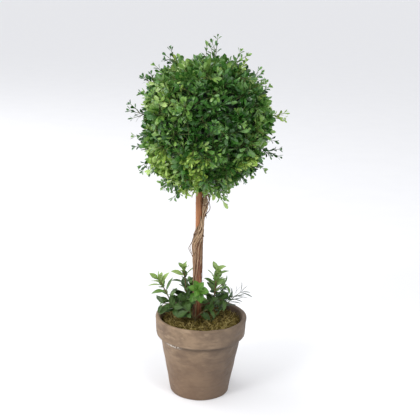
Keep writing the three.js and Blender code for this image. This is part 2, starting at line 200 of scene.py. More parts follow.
class Tree:
    """A material's nodes, all made through one method."""

    def __init__(self, name: str) -> None:
        """Starts an empty material.

        Args:
            name: the material's name.
        """
        self.material = bpy.data.materials.new(name)
        self.material.use_nodes = True
        self.nodes = self.material.node_tree.nodes
        self.links = self.material.node_tree.links
        self.nodes.clear()

    def node(
        self, kind: str, settings: dict | None = None, sockets: dict | None = None, output: int = 0
    ) -> Value | None:
        """Adds a node.

        Args:
            kind: the node's type.
            settings: its properties, which are set first.
            sockets: a value or a link for each input, by name or number.
            output: the number of the output to hand back.

        Returns:
            That output, or nothing from the node that ends a tree.
        """
        made = self.nodes.new(kind)
        for key, value in (settings or {}).items():
            setattr(made, key, value)
        for key, value in (sockets or {}).items():
            if isinstance(value, Value):
                self.links.new(value.socket, made.inputs[key])
            else:
                made.inputs[key].default_value = value
        return Value(self, made.outputs[output]) if made.outputs else None

    def place(self) -> Value:
        """The point on the piece, in Object coordinates."""
        return self.node("ShaderNodeTexCoord", output=3)

    def axes(self, vector: Value) -> tuple[Value, ...]:
        """The three parts of a vector."""
        parts = self.node("ShaderNodeSeparateXYZ", sockets={0: vector})
        return tuple(Value(self, output) for output in parts.socket.node.outputs)

    def blade(self) -> tuple[Value, ...]:
        """The places across and along a leaf, from its own UV map."""
        return self.axes(self.node("ShaderNodeUVMap", {"uv_map": UV_NAME}))[:2]

    def shade(self) -> Value:
        """The number from 0 to 1 that each copy of a small shape has of its own."""
        return self.node("ShaderNodeAttribute", {"attribute_name": SHADE_NAME}, output=2)

    def noise(
        self, scale: float, detail: float, stretch: Triple = (1, 1, 1), roughness: float = 0.5
    ) -> Value:
        """Noise over the piece.

        Args:
            scale: features in a metre.
            detail: how many finer layers it has.
            stretch: how much closer the features lie along each axis.
            roughness: how strong the finer layers are.

        Returns:
            A value about 0.5.
        """
        mapping = self.node("ShaderNodeMapping", sockets={"Vector": self.place(), "Scale": stretch})
        return self.node(
            "ShaderNodeTexNoise",
            sockets={"Vector": mapping, "Scale": scale, "Detail": detail, "Roughness": roughness},
        )

    def near(self, point: Vector, inner: float, outer: float) -> Value:
        """1 within inner of a point, and 0 from outer on."""
        away = self.node(
            "ShaderNodeVectorMath", {"operation": "DISTANCE"}, {0: self.place(), 1: tuple(point)}, 1
        )
        return 1 - away.rise(inner, outer)

    def coated(self, base: str, *coats: tuple[Value, str]) -> Value:
        """A colour under coats of others.

        Args:
            base: its display colour.
            coats: how much each covers, from 0 to 1, and its display colour.

        Returns:
            What shows.
        """
        shown = colour(base)
        for cover, code in coats:
            ends = {0: cover, 6: shown, 7: colour(code)}
            shown = self.node("ShaderNodeMix", {"data_type": "RGBA"}, ends, output=2)
        return shown

    def bump(self, height: Value, distance: float) -> Value:
        """A surface normal from a height, which counts as distance where it is 1."""
        sockets = {"Height": height, "Distance": distance, "Strength": 1.0}
        return self.node("ShaderNodeBump", sockets=sockets)

    def finished(self, **sockets: "Value | float") -> Material:
        """Ends the tree in a surface.

        Args:
            sockets: the surface's inputs, with _ for each space in their names.

        Returns:
            The material.
        """
        named = {key.replace("_", " "): value for key, value in sockets.items()}
        surface = self.node("ShaderNodeBsdfPrincipled", sockets=named)
        self.node("ShaderNodeOutputMaterial", sockets={"Surface": surface})
        return self.material


@dataclass(frozen=True)
class ClayFinish:
    """Fired clay under a grey-brown wash, with pale bloom, one scuff under the band, and painted
    shade on its right side and just under the band.
    """

    wash: str = "927b62"
    shade: str = "6b5745"
    shade_cover: float = 0.42
    bloom: str = "a08a72"
    bloom_cover: float = 0.6
    specks_and_shade: str = "4f4033"
    specks_cover: float = 0.2
    foot: str = "6b5340"
    foot_cover: float = 0.6
    foot_levels: Pair = (0.03, 0.115)
    # Painted shade: a darker colour over the right side of the pot, broken a little by the cloud.
    painted_shade: str = "56493f"
    painted_shade_cover: float = 0.9
    painted_shade_gaps: float = 0.25
    painted_shade_sides: Pair = (-0.02, 0.07)
    # Painted shade under the band: a ring of the specks' dark colour just below it.
    nook_shade_level: float = 0.0960
    nook_shade_heights: Pair = (0.001, 0.0065)
    nook_shade_cover: float = 0.6
    chalk: str = "e2d8cb"
    scuff_place: Vector = Vector((-0.0435, -0.0488, 0.0945))
    scuff_height: float = 0.0030
    scuff_reach: Pair = (0.010, 0.019)
    scuff_cover: float = 0.7
    relief: float = 0.0011

    def material(self) -> Material:
        """Makes the material.

        Returns:
            The material.
        """
        tree = Tree("aged_clay")
        cloud = tree.noise(30, 4, (1, 1, 1.3), 0.6).rise(0.24, 0.66)
        brushed = tree.noise(90, 3, (0.5, 0.5, 1.8), 0.55).rise(0.5, 0.66)
        dusty = tree.noise(70, 3, (0.6, 0.6, 1.6), 0.55).rise(0.54, 0.66)
        pores = tree.noise(1500, 2)
        across, _, level = tree.axes(tree.place())
        # The right side darkens as painted shade.
        painted_shade = across.rise(*self.painted_shade_sides) * (self.painted_shade_cover - cloud * self.painted_shade_gaps)
        # How far a point is from the painted shade under the band.
        off_nook_shade = abs(level - self.nook_shade_level).rise(*self.nook_shade_heights)
        off_line = abs(level - self.scuff_place.z).rise(0.3 * self.scuff_height, self.scuff_height)
        worn = tree.near(self.scuff_place, *self.scuff_reach) * (1 - off_line)
        worn = worn * tree.noise(420, 3).rise(0.4, 0.54)
        base = tree.coated(
            self.shade,
            (cloud, self.wash),
            (brushed * self.shade_cover, self.shade),
            (dusty * self.bloom_cover, self.bloom),
            (pores.rise(0.6, 0.76) * self.specks_cover, self.specks_and_shade),
            ((1 - level.rise(*self.foot_levels)) * self.foot_cover, self.foot),
            (painted_shade, self.painted_shade),
            ((1 - off_nook_shade) * self.nook_shade_cover, self.specks_and_shade),
            (worn * self.scuff_cover, self.chalk),
        )
        relief = tree.noise(48, 3, (1, 1, 1.5)) * 2.4 + pores * 0.1 + brushed * 0.3
        return tree.finished(
            Base_Color=base,
            Roughness=0.6 + dusty * 0.2,
            Normal=tree.bump(relief, self.relief),
            Specular_IOR_Level=0.4,
        )


@dataclass(frozen=True)
class FillingFinish:
    """Dark crumbly filling under the moss."""

    dark: str = "3d3022"
    light: str = "6d5c45"
    relief: float = 0.002

    def material(self) -> Material:
        """Makes the material.

        Returns:
            The material.
        """
        tree = Tree("filling")
        crumbs = tree.noise(260, 4)
        base = tree.coated(self.dark, (crumbs.rise(0.35, 0.65), self.light))
        return tree.finished(Base_Color=base, Roughness=0.95, Normal=tree.bump(crumbs, self.relief))


@dataclass(frozen=True)
class FibreFinish:
    """Dried moss: one tint, lighter and darker from fibre to fibre."""

    name: str
    dark: str
    light: str
    relief: float = 0.0004

    def material(self) -> Material:
        """Makes the material.

        Returns:
            The material.
        """
        tree = Tree(self.name)
        tone = tree.noise(120, 3).rise(0.3, 0.7) * 0.5 + tree.shade() * 0.5
        return tree.finished(
            Base_Color=tree.coated(self.dark, (tone, self.light)),
            Roughness=0.95,
            Normal=tree.bump(tree.noise(2600, 2), self.relief),
            Specular_IOR_Level=0.15,
        )


@dataclass(frozen=True)
class WoodFinish:
    """Wood or bark with streaks that run up the stick."""

    name: str
    dark: str
    light: str
    streaks: float
    roughness: float
    relief: float
    stain: str = "7d5542"
    # Painted light: the bark turns to its lighter colour towards the top, under the ball.
    painted_top_light: float = 0.0
    painted_top_light_levels: Pair = (0.285, 0.325)
    stain_cover: float = 0.45
    stain_foot: Pair = (0.13, 0.185)
    stain_top: Pair = (0.2, 0.275)
    patch_cover: float = 0.45

    def material(self) -> Material:
        """Makes the material.

        Returns:
            The material.
        """
        tree = Tree(self.name)
        grain = tree.noise(self.streaks, 4, (1, 1, 0.06), 0.6)
        patch = tree.noise(70, 3, (1, 1, 0.5))
        _, _, level = tree.axes(tree.place())
        stained = level.rise(*self.stain_foot) * (1 - level.rise(*self.stain_top))
        base = tree.coated(
            self.dark,
            (grain.rise(0.36, 0.66), self.light),
            (patch.rise(0.5, 0.75) * self.patch_cover, self.dark),
            (stained * self.stain_cover, self.stain),
            # Painted light towards the top.
            (level.rise(*self.painted_top_light_levels) * self.painted_top_light, self.light),
        )
        return tree.finished(
            Base_Color=base,
            Roughness=self.roughness + grain * 0.15,
            Normal=tree.bump(grain + patch * 0.5, self.relief),
            Specular_IOR_Level=0.35,
        )


@dataclass(frozen=True)
class LeafFinish:
    """A moulded leaf: one tint with a paler rib and foot, lighter and darker from leaf to leaf."""

    name: str
    slot: str
    dark: str
    light: str
    rib: str
    roughness: float = 0.2
    gloss: float = 0.65
    rib_cover: float = 0.45
    foot_cover: float = 0.4
    relief: float = 0.0002

    def material(self) -> Material:
        """Makes the material.

        Returns:
            The material.
        """
        tree = Tree(self.name)
        across, along = tree.blade()
        rib = (1 - abs(across - 0.5).rise(0.02, 0.1)) * (1 - along.rise(0.5, 0.95))
        mottle = tree.noise(330, 2).rise(0.3, 0.7)
        base = tree.coated(
            self.dark,
            (tree.shade() * 0.65 + mottle * 0.35, self.light),
            (rib * self.rib_cover, self.rib),
            ((1 - along.rise(0.02, 0.3)) * self.foot_cover, self.rib),
        )
        return tree.finished(
            Base_Color=base,
            Roughness=self.roughness + mottle * 0.14,
            Normal=tree.bump(tree.noise(900, 2) + rib, self.relief),
            Specular_IOR_Level=self.gloss,
        )


@dataclass(frozen=True)
class FloorFinish:
    """Matt white paper."""

    tint: str = "f2f2f4"
    fibres: str = "ececee"
    fibres_cover: float = 0.2

    def material(self) -> Material:
        """Makes the material.

        Returns:
            The material.
        """
        tree = Tree("paper_floor")
        cover = tree.noise(9, 3).rise(0.3, 0.7) * self.fibres_cover
        base = tree.coated(self.tint, (cover, self.fibres))
        return tree.finished(Base_Color=base, Roughness=0.9, Specular_IOR_Level=0.1)


class BoxTint(Enum):
    """The greens of the ball's sprays, from dark to light."""

    SHADE = LeafFinish("box_shade", "box_leaf", "143a08", "295a16", "3f6c2c")
    DEEP = LeafFinish("box_deep", "box_leaf", "2c5921", "497a31", "608c49")
    GREEN = LeafFinish("box_green", "box_leaf", "487130", "689547", "80a85e")
    FRESH = LeafFinish("box_fresh", "box_leaf", "5f8836", "85aa52", "99b86a")
    PALE = LeafFinish("box_pale", "box_leaf", "7a9d47", "a6c06e", "b4ca82")
    LIME = LeafFinish("box_lime", "box_leaf", "82a63a", "b0cd64", "c0d882")


class SprigTint(Enum):
    """The greens of the low sprigs."""

    DARK = LeafFinish("sprig_dark", "broad_leaf", "2b4419", "4a6530", "617a48", 0.34, 0.25)
    GREEN = LeafFinish("sprig_green", "broad_leaf", "4a6b2b", "72934a", "8ba968", 0.34, 0.3)
    FRESH = LeafFinish("sprig_fresh", "broad_leaf", "708f44", "a2ba70", "b6cb8a", 0.34, 0.3)
    BRIGHT = LeafFinish("sprig_bright", "bright_leaf", "396218", "5c8632", "80a351", 0.34, 0.25)
    BLUE = LeafFinish("sprig_blue", "dark_leaf", "2c4a30", "50704f", "6b8768", 0.4, 0.25)
    GREY = LeafFinish("sprig_grey", "narrow_leaf", "3a4536", "5c6a58", "6f7d69", 0.45, 0.25)


class MossTint(Enum):
    """The tints of the moss's fibres."""

    UMBER = FibreFinish("moss_umber", "403315", "614f26")
    OLIVE = FibreFinish("moss_olive", "675826", "90803f")
    STRAW = FibreFinish("moss_straw", "95844a", "c4b174")


class StemTint(Enum):
    """The barks of stick, vine and stems."""

    PEELED = WoodFinish("peeled_wood", "844f31", "ae7851", 170, 0.42, 0.0002, "bd8168")
    VINE = WoodFinish("vine_bark", "80674f", "b89c7f", 700, 0.8, 0.0006, painted_top_light=0.7)
    VINE_PALE = WoodFinish("vine_pale_bark", "927558", "c8ac8c", 700, 0.8, 0.0006, painted_top_light=0.7)
    VINE_RED = WoodFinish("vine_red_bark", "8a5442", "bd8a72", 700, 0.7, 0.0006)
    VINE_DARK = WoodFinish("vine_dark_bark", "4c3828", "785c44", 700, 0.8, 0.0006, painted_top_light=0.5)
    TWIG = WoodFinish("box_twig", "3a4a22", "6b6b3c", 900, 0.7, 0.0003)
    STALK = WoodFinish("sprig_stalk", "4c4629", "80704c", 900, 0.6, 0.0003)
    STALK_GREEN = WoodFinish("sprig_green_stalk", "3d5a30", "6d8a52", 900, 0.6, 0.0003)


def dressed(name: str, mesh: bpy.types.Mesh, finish: object, slot: str) -> bpy.types.Object:
    """Makes a piece of the part from a mesh.

    Args:
        name: the piece's name.
        mesh: its mesh, in place.
        finish: what dresses it.
        slot: the material slot of the record; not used.

    Returns:
        The new object, which rides with the part.
    """
    mesh.shade_smooth()
    mesh.materials.append(finish.material())
    made = bpy.data.objects.new(name, mesh)
    bpy.context.scene.collection.objects.link(made)
    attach(made, BODY)
    LOG.info("%s: %d faces", name, len(mesh.polygons))
    return made


def piece(name: str, bm: BMesh, finish: object, slot: str) -> bpy.types.Object:
    """Makes a piece of the part from a modelled shape.

    Args:
        name: the piece's name.
        bm: the shape, which is freed.
        finish: what dresses it.
        slot: the material slot of the record.

    Returns:
        The new object.
    """
    mesh = bpy.data.meshes.new(name)
    bm.to_mesh(mesh)
    bm.free()
    return dressed(name, mesh, finish, slot)


@dataclass
class Shape:
    """A small shape that is copied many times into one mesh."""

    points: np.ndarray
    faces: list[tuple[int, ...]]
    corners: np.ndarray

    @classmethod
    def of(cls, bm: BMesh) -> "Shape":
        """Reads a modelled shape.

        Args:
            bm: the shape, which is freed.

        Returns:
            Its points, its faces, and the place of each face's corner on a leaf.
        """
        bm.verts.index_update()
        layer = bm.loops.layers.uv.get(UV_NAME)
        points = np.array([vert.co for vert in bm.verts])
        faces = [tuple(vert.index for vert in face.verts) for face in bm.faces]
        loops = [loop for face in bm.faces for loop in face.loops]
        corners = np.array([loop[layer].uv if layer else (0.5, 0.5) for loop in loops])
        bm.free()
        return cls(points, faces, corners)


class Scatter:
    """Copies of small shapes, joined into one mesh."""

    def __init__(self, name: str) -> None:
        """Starts with no copies."""
        self.name = name
        self.copies: list[tuple[Shape, Matrix, float]] = []

    def add(self, shape: Shape, pose: Matrix, shade: float) -> None:
        """Adds a copy of a shape at a pose, with how light it is from 0 to 1."""
        self.copies.append((shape, pose, shade))

    def build(self, finish: object, slot: str) -> None:
        """Makes the joined piece.

        Args:
            finish: what dresses it.
            slot: the material slot of the record.
        """
        points, faces, corners, shades = [], [], [], []
        count = 0
        for shape, pose, shade in self.copies:
            turn = np.array(pose.to_3x3())
            points.append(shape.points @ turn.T + np.array(pose.translation))
            faces.extend(tuple(index + count for index in face) for face in shape.faces)
            corners.append(shape.corners)
            shades.append(np.full(len(shape.points), shade))
            count += len(shape.points)
        mesh = bpy.data.meshes.new(self.name)
        mesh.from_pydata(np.concatenate(points).tolist(), [], faces)
        layer = mesh.uv_layers.new(name=UV_NAME)
        layer.data.foreach_set("uv", np.concatenate(corners).ravel())
        shade_layer = mesh.attributes.new(SHADE_NAME, "FLOAT", "POINT")
        shade_layer.data.foreach_set("value", np.concatenate(shades))
        dressed(self.name, mesh, finish, slot)


@dataclass
class Limb:
    """A closed round limb: its middle line, its radius at each point of it, and its sides."""

    path: Sequence[Vector]
    radii: Sequence[float]
    sides: int

    def poses(self) -> list[Matrix]:
        """Places the rings.

        Returns:
            Where a ring of radius 1 goes at each point, with +Z along the line and without twist.
        """
        poses, side = [], FRONT
        last = len(self.path) - 1
        for i, (point, radius) in enumerate(zip(self.path, self.radii)):
            along = (self.path[min(i + 1, last)] - self.path[max(i - 1, 0)]).normalized()
            guess = UP if abs(along.dot(side)) > NEAR_FRONT else side
            side = (guess - along * guess.dot(along)).normalized()
            size = Matrix.Diagonal((radius, radius, radius, 1))
            poses.append(Matrix.Translation(point) @ basis(side, along.cross(side), along) @ size)
        return poses

    def join(self, bm: BMesh) -> None:
        """Adds the limb to a shape: a ring that is extruded along the line.

        Args:
            bm: the shape.
        """
        poses = self.poses()
        made = bmesh.ops.create_circle(
            bm, cap_ends=True, segments=self.sides, radius=1.0, matrix=poses[0]
        )
        edges = list({edge: None for vert in made["verts"] for edge in vert.link_edges})
        for before, after in zip(poses, poses[1:]):
            grown = bmesh.ops.extrude_edge_only(bm, edges=edges)["geom"]
            ring = [item for item in grown if isinstance(item, bmesh.types.BMVert)]
            bmesh.ops.transform(bm, matrix=after @ before.inverted(), verts=ring)
            held = set(ring)
            around = dict.fromkeys(edge for vert in ring for edge in vert.link_edges)
            edges = [edge for edge in around if held.issuperset(edge.verts)]
        bmesh.ops.edgeloop_fill(bm, edges=edges)


def swept(limbs: Sequence[Limb]) -> BMesh:
    """Models limbs.

    Args:
        limbs: the limbs, in the order of their points.

    Returns:
        One shape of them all.
    """
    bm = bmesh.new()
    for limb in limbs:
        limb.join(bm)
    bmesh.ops.recalc_face_normals(bm, faces=bm.faces)
    return bm


def roughened(bm: BMesh, height: float, lumps: Triple, seed: float) -> None:
    """Moves a shape's surface in and out by smooth noise.

    Args:
        bm: the shape.
        height: the largest move.
        lumps: the size of the lumps along each axis.
        seed: picks the noise.
    """
    bm.normal_update()
    length = Vector(lumps)
    shift = Vector((seed * 7.3, seed * 3.1, seed * 5.7))
    for vert in bm.verts:
        place = Vector((vert.co.x / length.x, vert.co.y / length.y, vert.co.z / length.z)) + shift
        vert.co += vert.normal * height * noise.noise(place)


def flattened(bm: BMesh, level: float) -> None:
    """Lifts what hangs under a level up to it."""
    for vert in bm.verts:
        vert.co.z = max(vert.co.z, level)


def turned(points: Sequence[Triple], steps: int, rows: int = 0, long: float = 0.0) -> BMesh:
    """Spins a profile right round +Z, and closes its poles.

    Args:
        points: radius, height and rounding of each corner.
        steps: how many steps a turn has.
        rows: how often each long edge of the profile is cut.
        long: the length above which an edge is long.

    Returns:
        The turned shape.
    """
    bm = bmesh.new()
    verts = [bm.verts.new((radius, 0, level)) for radius, level, _ in points]
    for first, second in zip(verts, verts[1:]):
        bm.edges.new((first, second))
    for vert, (_, _, rounding) in zip(verts, points):
        if rounding:
            bmesh.ops.bevel(
                bm, geom=[vert], offset=rounding, offset_type="OFFSET", segments=4, profile=0.5,
                affect="VERTICES", material=-1,
            )
    if rows:
        edges = [edge for edge in bm.edges if edge.calc_length() > long]
        bmesh.ops.subdivide_edges(bm, edges=edges, cuts=rows, use_grid_fill=False)
    bmesh.ops.spin(
        bm, geom=bm.verts[:] + bm.edges[:], cent=(0, 0, 0), axis=(0, 0, 1), angle=math.tau,
        steps=steps, use_merge=True,
    )
    bmesh.ops.remove_doubles(bm, verts=bm.verts, dist=SAME_PLACE)
    bmesh.ops.recalc_face_normals(bm, faces=bm.faces)
    return bm


@dataclass
class ClayPot:
    """The rimmed clay pot."""

    height: float = 0.131
    rim_radius: float = 0.075
    rim_band: float = 0.033
    rim_draft: float = 0.0022
    body_top_radius: float = 0.066
    base_radius: float = 0.0483
    wall: float = 0.007
    floor: float = 0.010
    floor_radius: float = 0.043
    lip_round: float = 0.0028
    band_round: float = 0.004
    nook_round: float = 0.0015
    base_round: float = 0.0015
    steps: int = 128
    rows: int = 12
    unevenness: float = 0.0007
    lumps: Triple = (0.022, 0.022, 0.016)

    def inner_radius(self, level: float) -> float:
        """Radius of the inner wall at a height."""
        share = (level - self.floor) / (self.height - self.floor)
        return mixed(self.floor_radius, self.rim_radius - self.wall, share)

    def build(self) -> None:
        """Models and dresses the pot."""
        band_foot = self.height - self.rim_band
        corners = [
            (0, 0, 0),
            (self.base_radius, 0, self.base_round),
            (self.body_top_radius, band_foot, self.nook_round),
            (self.rim_radius - self.rim_draft, band_foot, self.band_round),
            (self.rim_radius, self.height, self.lip_round),
            (self.rim_radius - self.wall, self.height, self.lip_round),
            (self.floor_radius, self.floor, self.lip_round),
            (0, self.floor, 0),
        ]
        bm = turned(corners, self.steps, self.rows, self.rim_band / 2)
        roughened(bm, self.unevenness, self.lumps, 1)
        flattened(bm, 0.0)
        made = piece("clay_pot", bm, ClayFinish(), "clay")
        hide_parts("pot")


@dataclass(frozen=True)
class Tuft:
    """One tint of the moss's fibres: their share, their coarseness and how far they stand up."""

    share: float
    coarseness: float
    lift: float


@dataclass
class MossBed:
    """The filling and the dried moss on it."""

    pot: ClayPot
    edge_level: float = 0.1195
    top_level: float = 0.1228
    shoulder: float = 0.016
    depth: float = 0.006
    gap: float = 0.0003
    sunk: float = 0.0012
    lump: float = 0.0024
    lump_edge: float = 0.008
    lump_pitch: float = 70
    crumb_pitch: float = 190
    rings: int = 36
    steps: int = 120
    fibres: int = 5600
    kinds: int = 14
    fibre_length: float = 0.009
    fibre_radii: Pair = (0.00026, 0.0005)
    fibre_turns: Pair = (2.0, 5.5)
    fibre_loops: Pair = (0.0018, 0.0042)
    fibre_waves: Pair = (0.0008, 0.0022)
    fibre_sizes: Pair = (0.75, 1.25)
    fibre_drift: float = 0.6
    fibre_tilt: float = 0.9
    fibre_roll: float = 2.0
    fibre_points: int = 8
    fibre_sides: int = 3
    fibre_edge: float = 0.0025
    fibre_gap: float = 0.001
    tufts: dict[MossTint, Tuft] = field(
        default_factory=lambda: {
            MossTint.UMBER: Tuft(0.42, 0.9, 0.0006),
            MossTint.OLIVE: Tuft(0.38, 1.0, 0.0006),
            MossTint.STRAW: Tuft(0.2, 1.15, 0.0022),
        }
    )
    draw: Draw = field(default_factory=lambda: Draw(5))

    def level(self, x: float, y: float) -> float:
        """Height of the moss at a place on plan.

        Args:
            x: place to the right.
            y: place to the back.

        Returns:
            The level of its surface.
        """
        inward = self.pot.inner_radius(self.edge_level) - math.hypot(x, y)
        general = mixed(self.edge_level, self.top_level, smooth_step(inward, 0, self.shoulder))
        lump = noise.noise(Vector((x, y, 0)) * self.lump_pitch)
        lump += 0.5 * noise.noise(Vector((x, y, 1)) * self.crumb_pitch)
        return general + self.lump * lump * smooth_step(inward, 0, self.lump_edge)

    def build_bed(self) -> None:
        """Models the matted bed under the fibres."""
        reach = self.pot.inner_radius(self.edge_level) - self.gap
        low = self.edge_level - self.depth
        points = [(reach * i / self.rings, self.top_level, 0) for i in range(self.rings + 1)]
        points += [(self.pot.inner_radius(low) - self.gap, low, 0), (0, low, 0)]
        bm = turned(points, self.steps)
        for vert in bm.verts:
            if vert.co.z > self.edge_level - self.depth / 2:
                vert.co.z = self.level(vert.co.x, vert.co.y) - self.sunk
        made = piece("moss_bed", bm, MossTint.UMBER.value, "moss")
        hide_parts("moss")

    def curl(self) -> Shape:
        """Models a curled fibre.

        Returns:
            A fibre of about a centimetre along +X, with its root at the origin.
        """
        draw = self.draw
        turn, loop = draw.between(*self.fibre_turns), draw.between(*self.fibre_loops)
        wave, phase = draw.between(*self.fibre_waves), draw.between(0, math.tau)
        radius = draw.between(*self.fibre_radii)
        path, radii = [], []
        for share in shares(self.fibre_points):
            along = self.fibre_length * share + loop * math.sin(turn * share)
            across = loop * (1 - math.cos(turn * share))
            path.append(Vector((along, across, wave * math.sin(phase + 5 * share))))
            radii.append(radius * mixed(1, 0.5, share))
        return Shape.of(swept([Limb(path, radii, self.fibre_sides)]))

    def in_pot(self, shape: Shape, pose: Matrix) -> bool:
        """Whether all of a fibre is inside the pot's wall."""
        places = [pose @ Vector(point) for point in shape.points]
        return all(p.xy.length < self.pot.inner_radius(p.z) - self.fibre_gap for p in places)

    def build_fibres(self) -> None:
        """Deals the fibres out over the bed."""
        draw = self.draw
        shapes = [self.curl() for _ in range(self.kinds)]
        weights = {tint: tuft.share for tint, tuft in self.tufts.items()}
        piles = {tint: Scatter(tint.value.name + "_fibres") for tint in MossTint}
        reach = self.pot.inner_radius(self.edge_level) - self.fibre_edge
        for i in range(self.fibres):
            radius = reach * math.sqrt((i + 0.5) / self.fibres)
            angle = i * GOLDEN_ANGLE + draw.spread(self.fibre_drift)
            x, y = radius * math.cos(angle), radius * math.sin(angle)
            tint = draw.pick(weights)
            tuft = self.tufts[tint]
            place = Vector((x, y, self.level(x, y) + draw.between(-self.sunk, tuft.lift)))
            turn = Matrix.Rotation(draw.between(0, math.tau), 4, "Z")
            tilt = Matrix.Rotation(draw.spread(self.fibre_tilt), 4, "Y")
            tilt = tilt @ Matrix.Rotation(draw.spread(self.fibre_roll), 4, "X")
            size = Matrix.Scale(draw.between(*self.fibre_sizes) * tuft.coarseness, 4)
            shape = draw.item(shapes)
            pose = Matrix.Translation(place) @ turn @ tilt @ size
            if self.in_pot(shape, pose):
                piles[tint].add(shape, pose, draw.unit())
        for tint, pile in piles.items():
            pile.build(tint.value, "moss")

    def dress_filling(self) -> None:
        """Gives the filling's solid its finish."""
        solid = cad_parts["fill"]
        solid.data.materials.clear()
        solid.data.materials.append(FillingFinish().material())

    def build(self) -> None:
        """Models and dresses the bed, its fibres and the filling."""
        self.build_bed()
        self.build_fibres()
        self.dress_filling()


@dataclass
class PeeledStick:
    """The straight peeled stick that stands for a trunk."""

    foot: Vector = Vector((-0.0055, 0, GROUND))
    tip: Vector = Vector((-0.009, 0, 0.424))
    root_radius: float = 0.0058
    tip_radius: float = 0.0052
    stations: int = 90
    sides: int = 28
    relief: float = 0.00035
    grain: Triple = (0.004, 0.004, 0.05)
    scars: tuple[float, ...] = (0.168, 0.236, 0.301, 0.318)
    scar_height: float = 0.0016
    scar_rise: float = 0.00028

    def share(self, level: float) -> float:
        """How far up the stick a height is."""
        return (level - self.foot.z) / (self.tip.z - self.foot.z)

    def axis(self, level: float) -> Vector:
        """The middle of the stick at a height."""
        return self.foot.lerp(self.tip, self.share(level))

    def radius(self, level: float) -> float:
        """The stick's radius at a height, with its low scars."""
        swell = sum(hump(level, scar, self.scar_height) for scar in self.scars)
        return mixed(self.root_radius, self.tip_radius, self.share(level)) + self.scar_rise * swell

    def build(self) -> None:
        """Models and dresses the stick."""
        levels = np.linspace(self.foot.z, self.tip.z, self.stations)
        path, radii = [self.axis(z) for z in levels], [self.radius(z) for z in levels]
        bm = swept([Limb(path, radii, self.sides)])
        roughened(bm, self.relief, self.grain, 2)
        flattened(bm, self.foot.z)
        made = piece("peeled_stick", bm, StemTint.PEELED.value, "peeled_wood")
        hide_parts("trunk")


@dataclass(frozen=True)
class Thread:
    """A thread of vine: the strand's line that it follows, its ends, its size and its slack."""

    side: float
    foot: float
    top: float
    size: float = 0.8
    slack: float = 1.0


# The threads beside the strands by their bark, each with the values of a Thread.
STRAYS: dict[StemTint, tuple[tuple[float, ...], ...]] = {
    StemTint.VINE: (
        (6.0, 0.2, 0.284, 0.9, 0.2), (6.3, 0.208, 0.287, 0.7, 0.3), (6.7, 0.212, 0.281, 0.7, 0.1),
        (7.1, 0.215, 0.283, 0.6, 0.1), (8.2, 0.21, 0.278, 0.5, 0), (1.6, 0.286, 0.35),
        (2.4, 0.278, 0.352), (2.0, 0.282, 0.352, 0.8, 2.5), (2.5, 0.279, 0.352, 0.8, 2.2),
        (2.9, 0.284, 0.352, 0.7, 2.4), (1.5, 0.2, 0.275, 0.5, 2.4), (1.9, 0.206, 0.27, 0.5, 1.8),
        (-1.0, 0.17, 0.27),
    ),
    StemTint.VINE_PALE: (
        (1.9, 0.284, 0.353, 0.9, 0.4), (2.2, 0.28, 0.352, 1.0, 0.6), (2.7, 0.282, 0.352, 0.9, 0.8),
        (3.1, 0.285, 0.353, 0.9, 0.4),
    ),
    StemTint.VINE_RED: ((5.6, GROUND, 0.228), (6.2, GROUND, 0.214, 0.6, 0.2)),
    StemTint.VINE_DARK: (
        (6.5, 0.202, 0.283, 0.6, 0.2), (6.9, 0.21, 0.285, 0.5, 0.2), (7.3, 0.195, 0.28, 0.6, 0.1),
        (7.6, 0.204, 0.284, 0.5, 0), (7.9, 0.212, 0.279, 0.6, 0), (8.6, GROUND, 0.276, 0.5, 0),
        (1.1, 0.205, 0.272, 0.5, 2.9), (0.3, GROUND, 0.284, 0.6), (2.2, GROUND, 0.352, 0.6),
        (1.7, 0.288, 0.352, 0.6, 0.1), (2.3, 0.286, 0.352, 0.6, 2.8), (2.8, 0.27, 0.353, 0.6, 1.9),
        (3.3, GROUND, 0.352, 0.6), (4.6, 0.17, 0.352, 0.6),
    ),
}


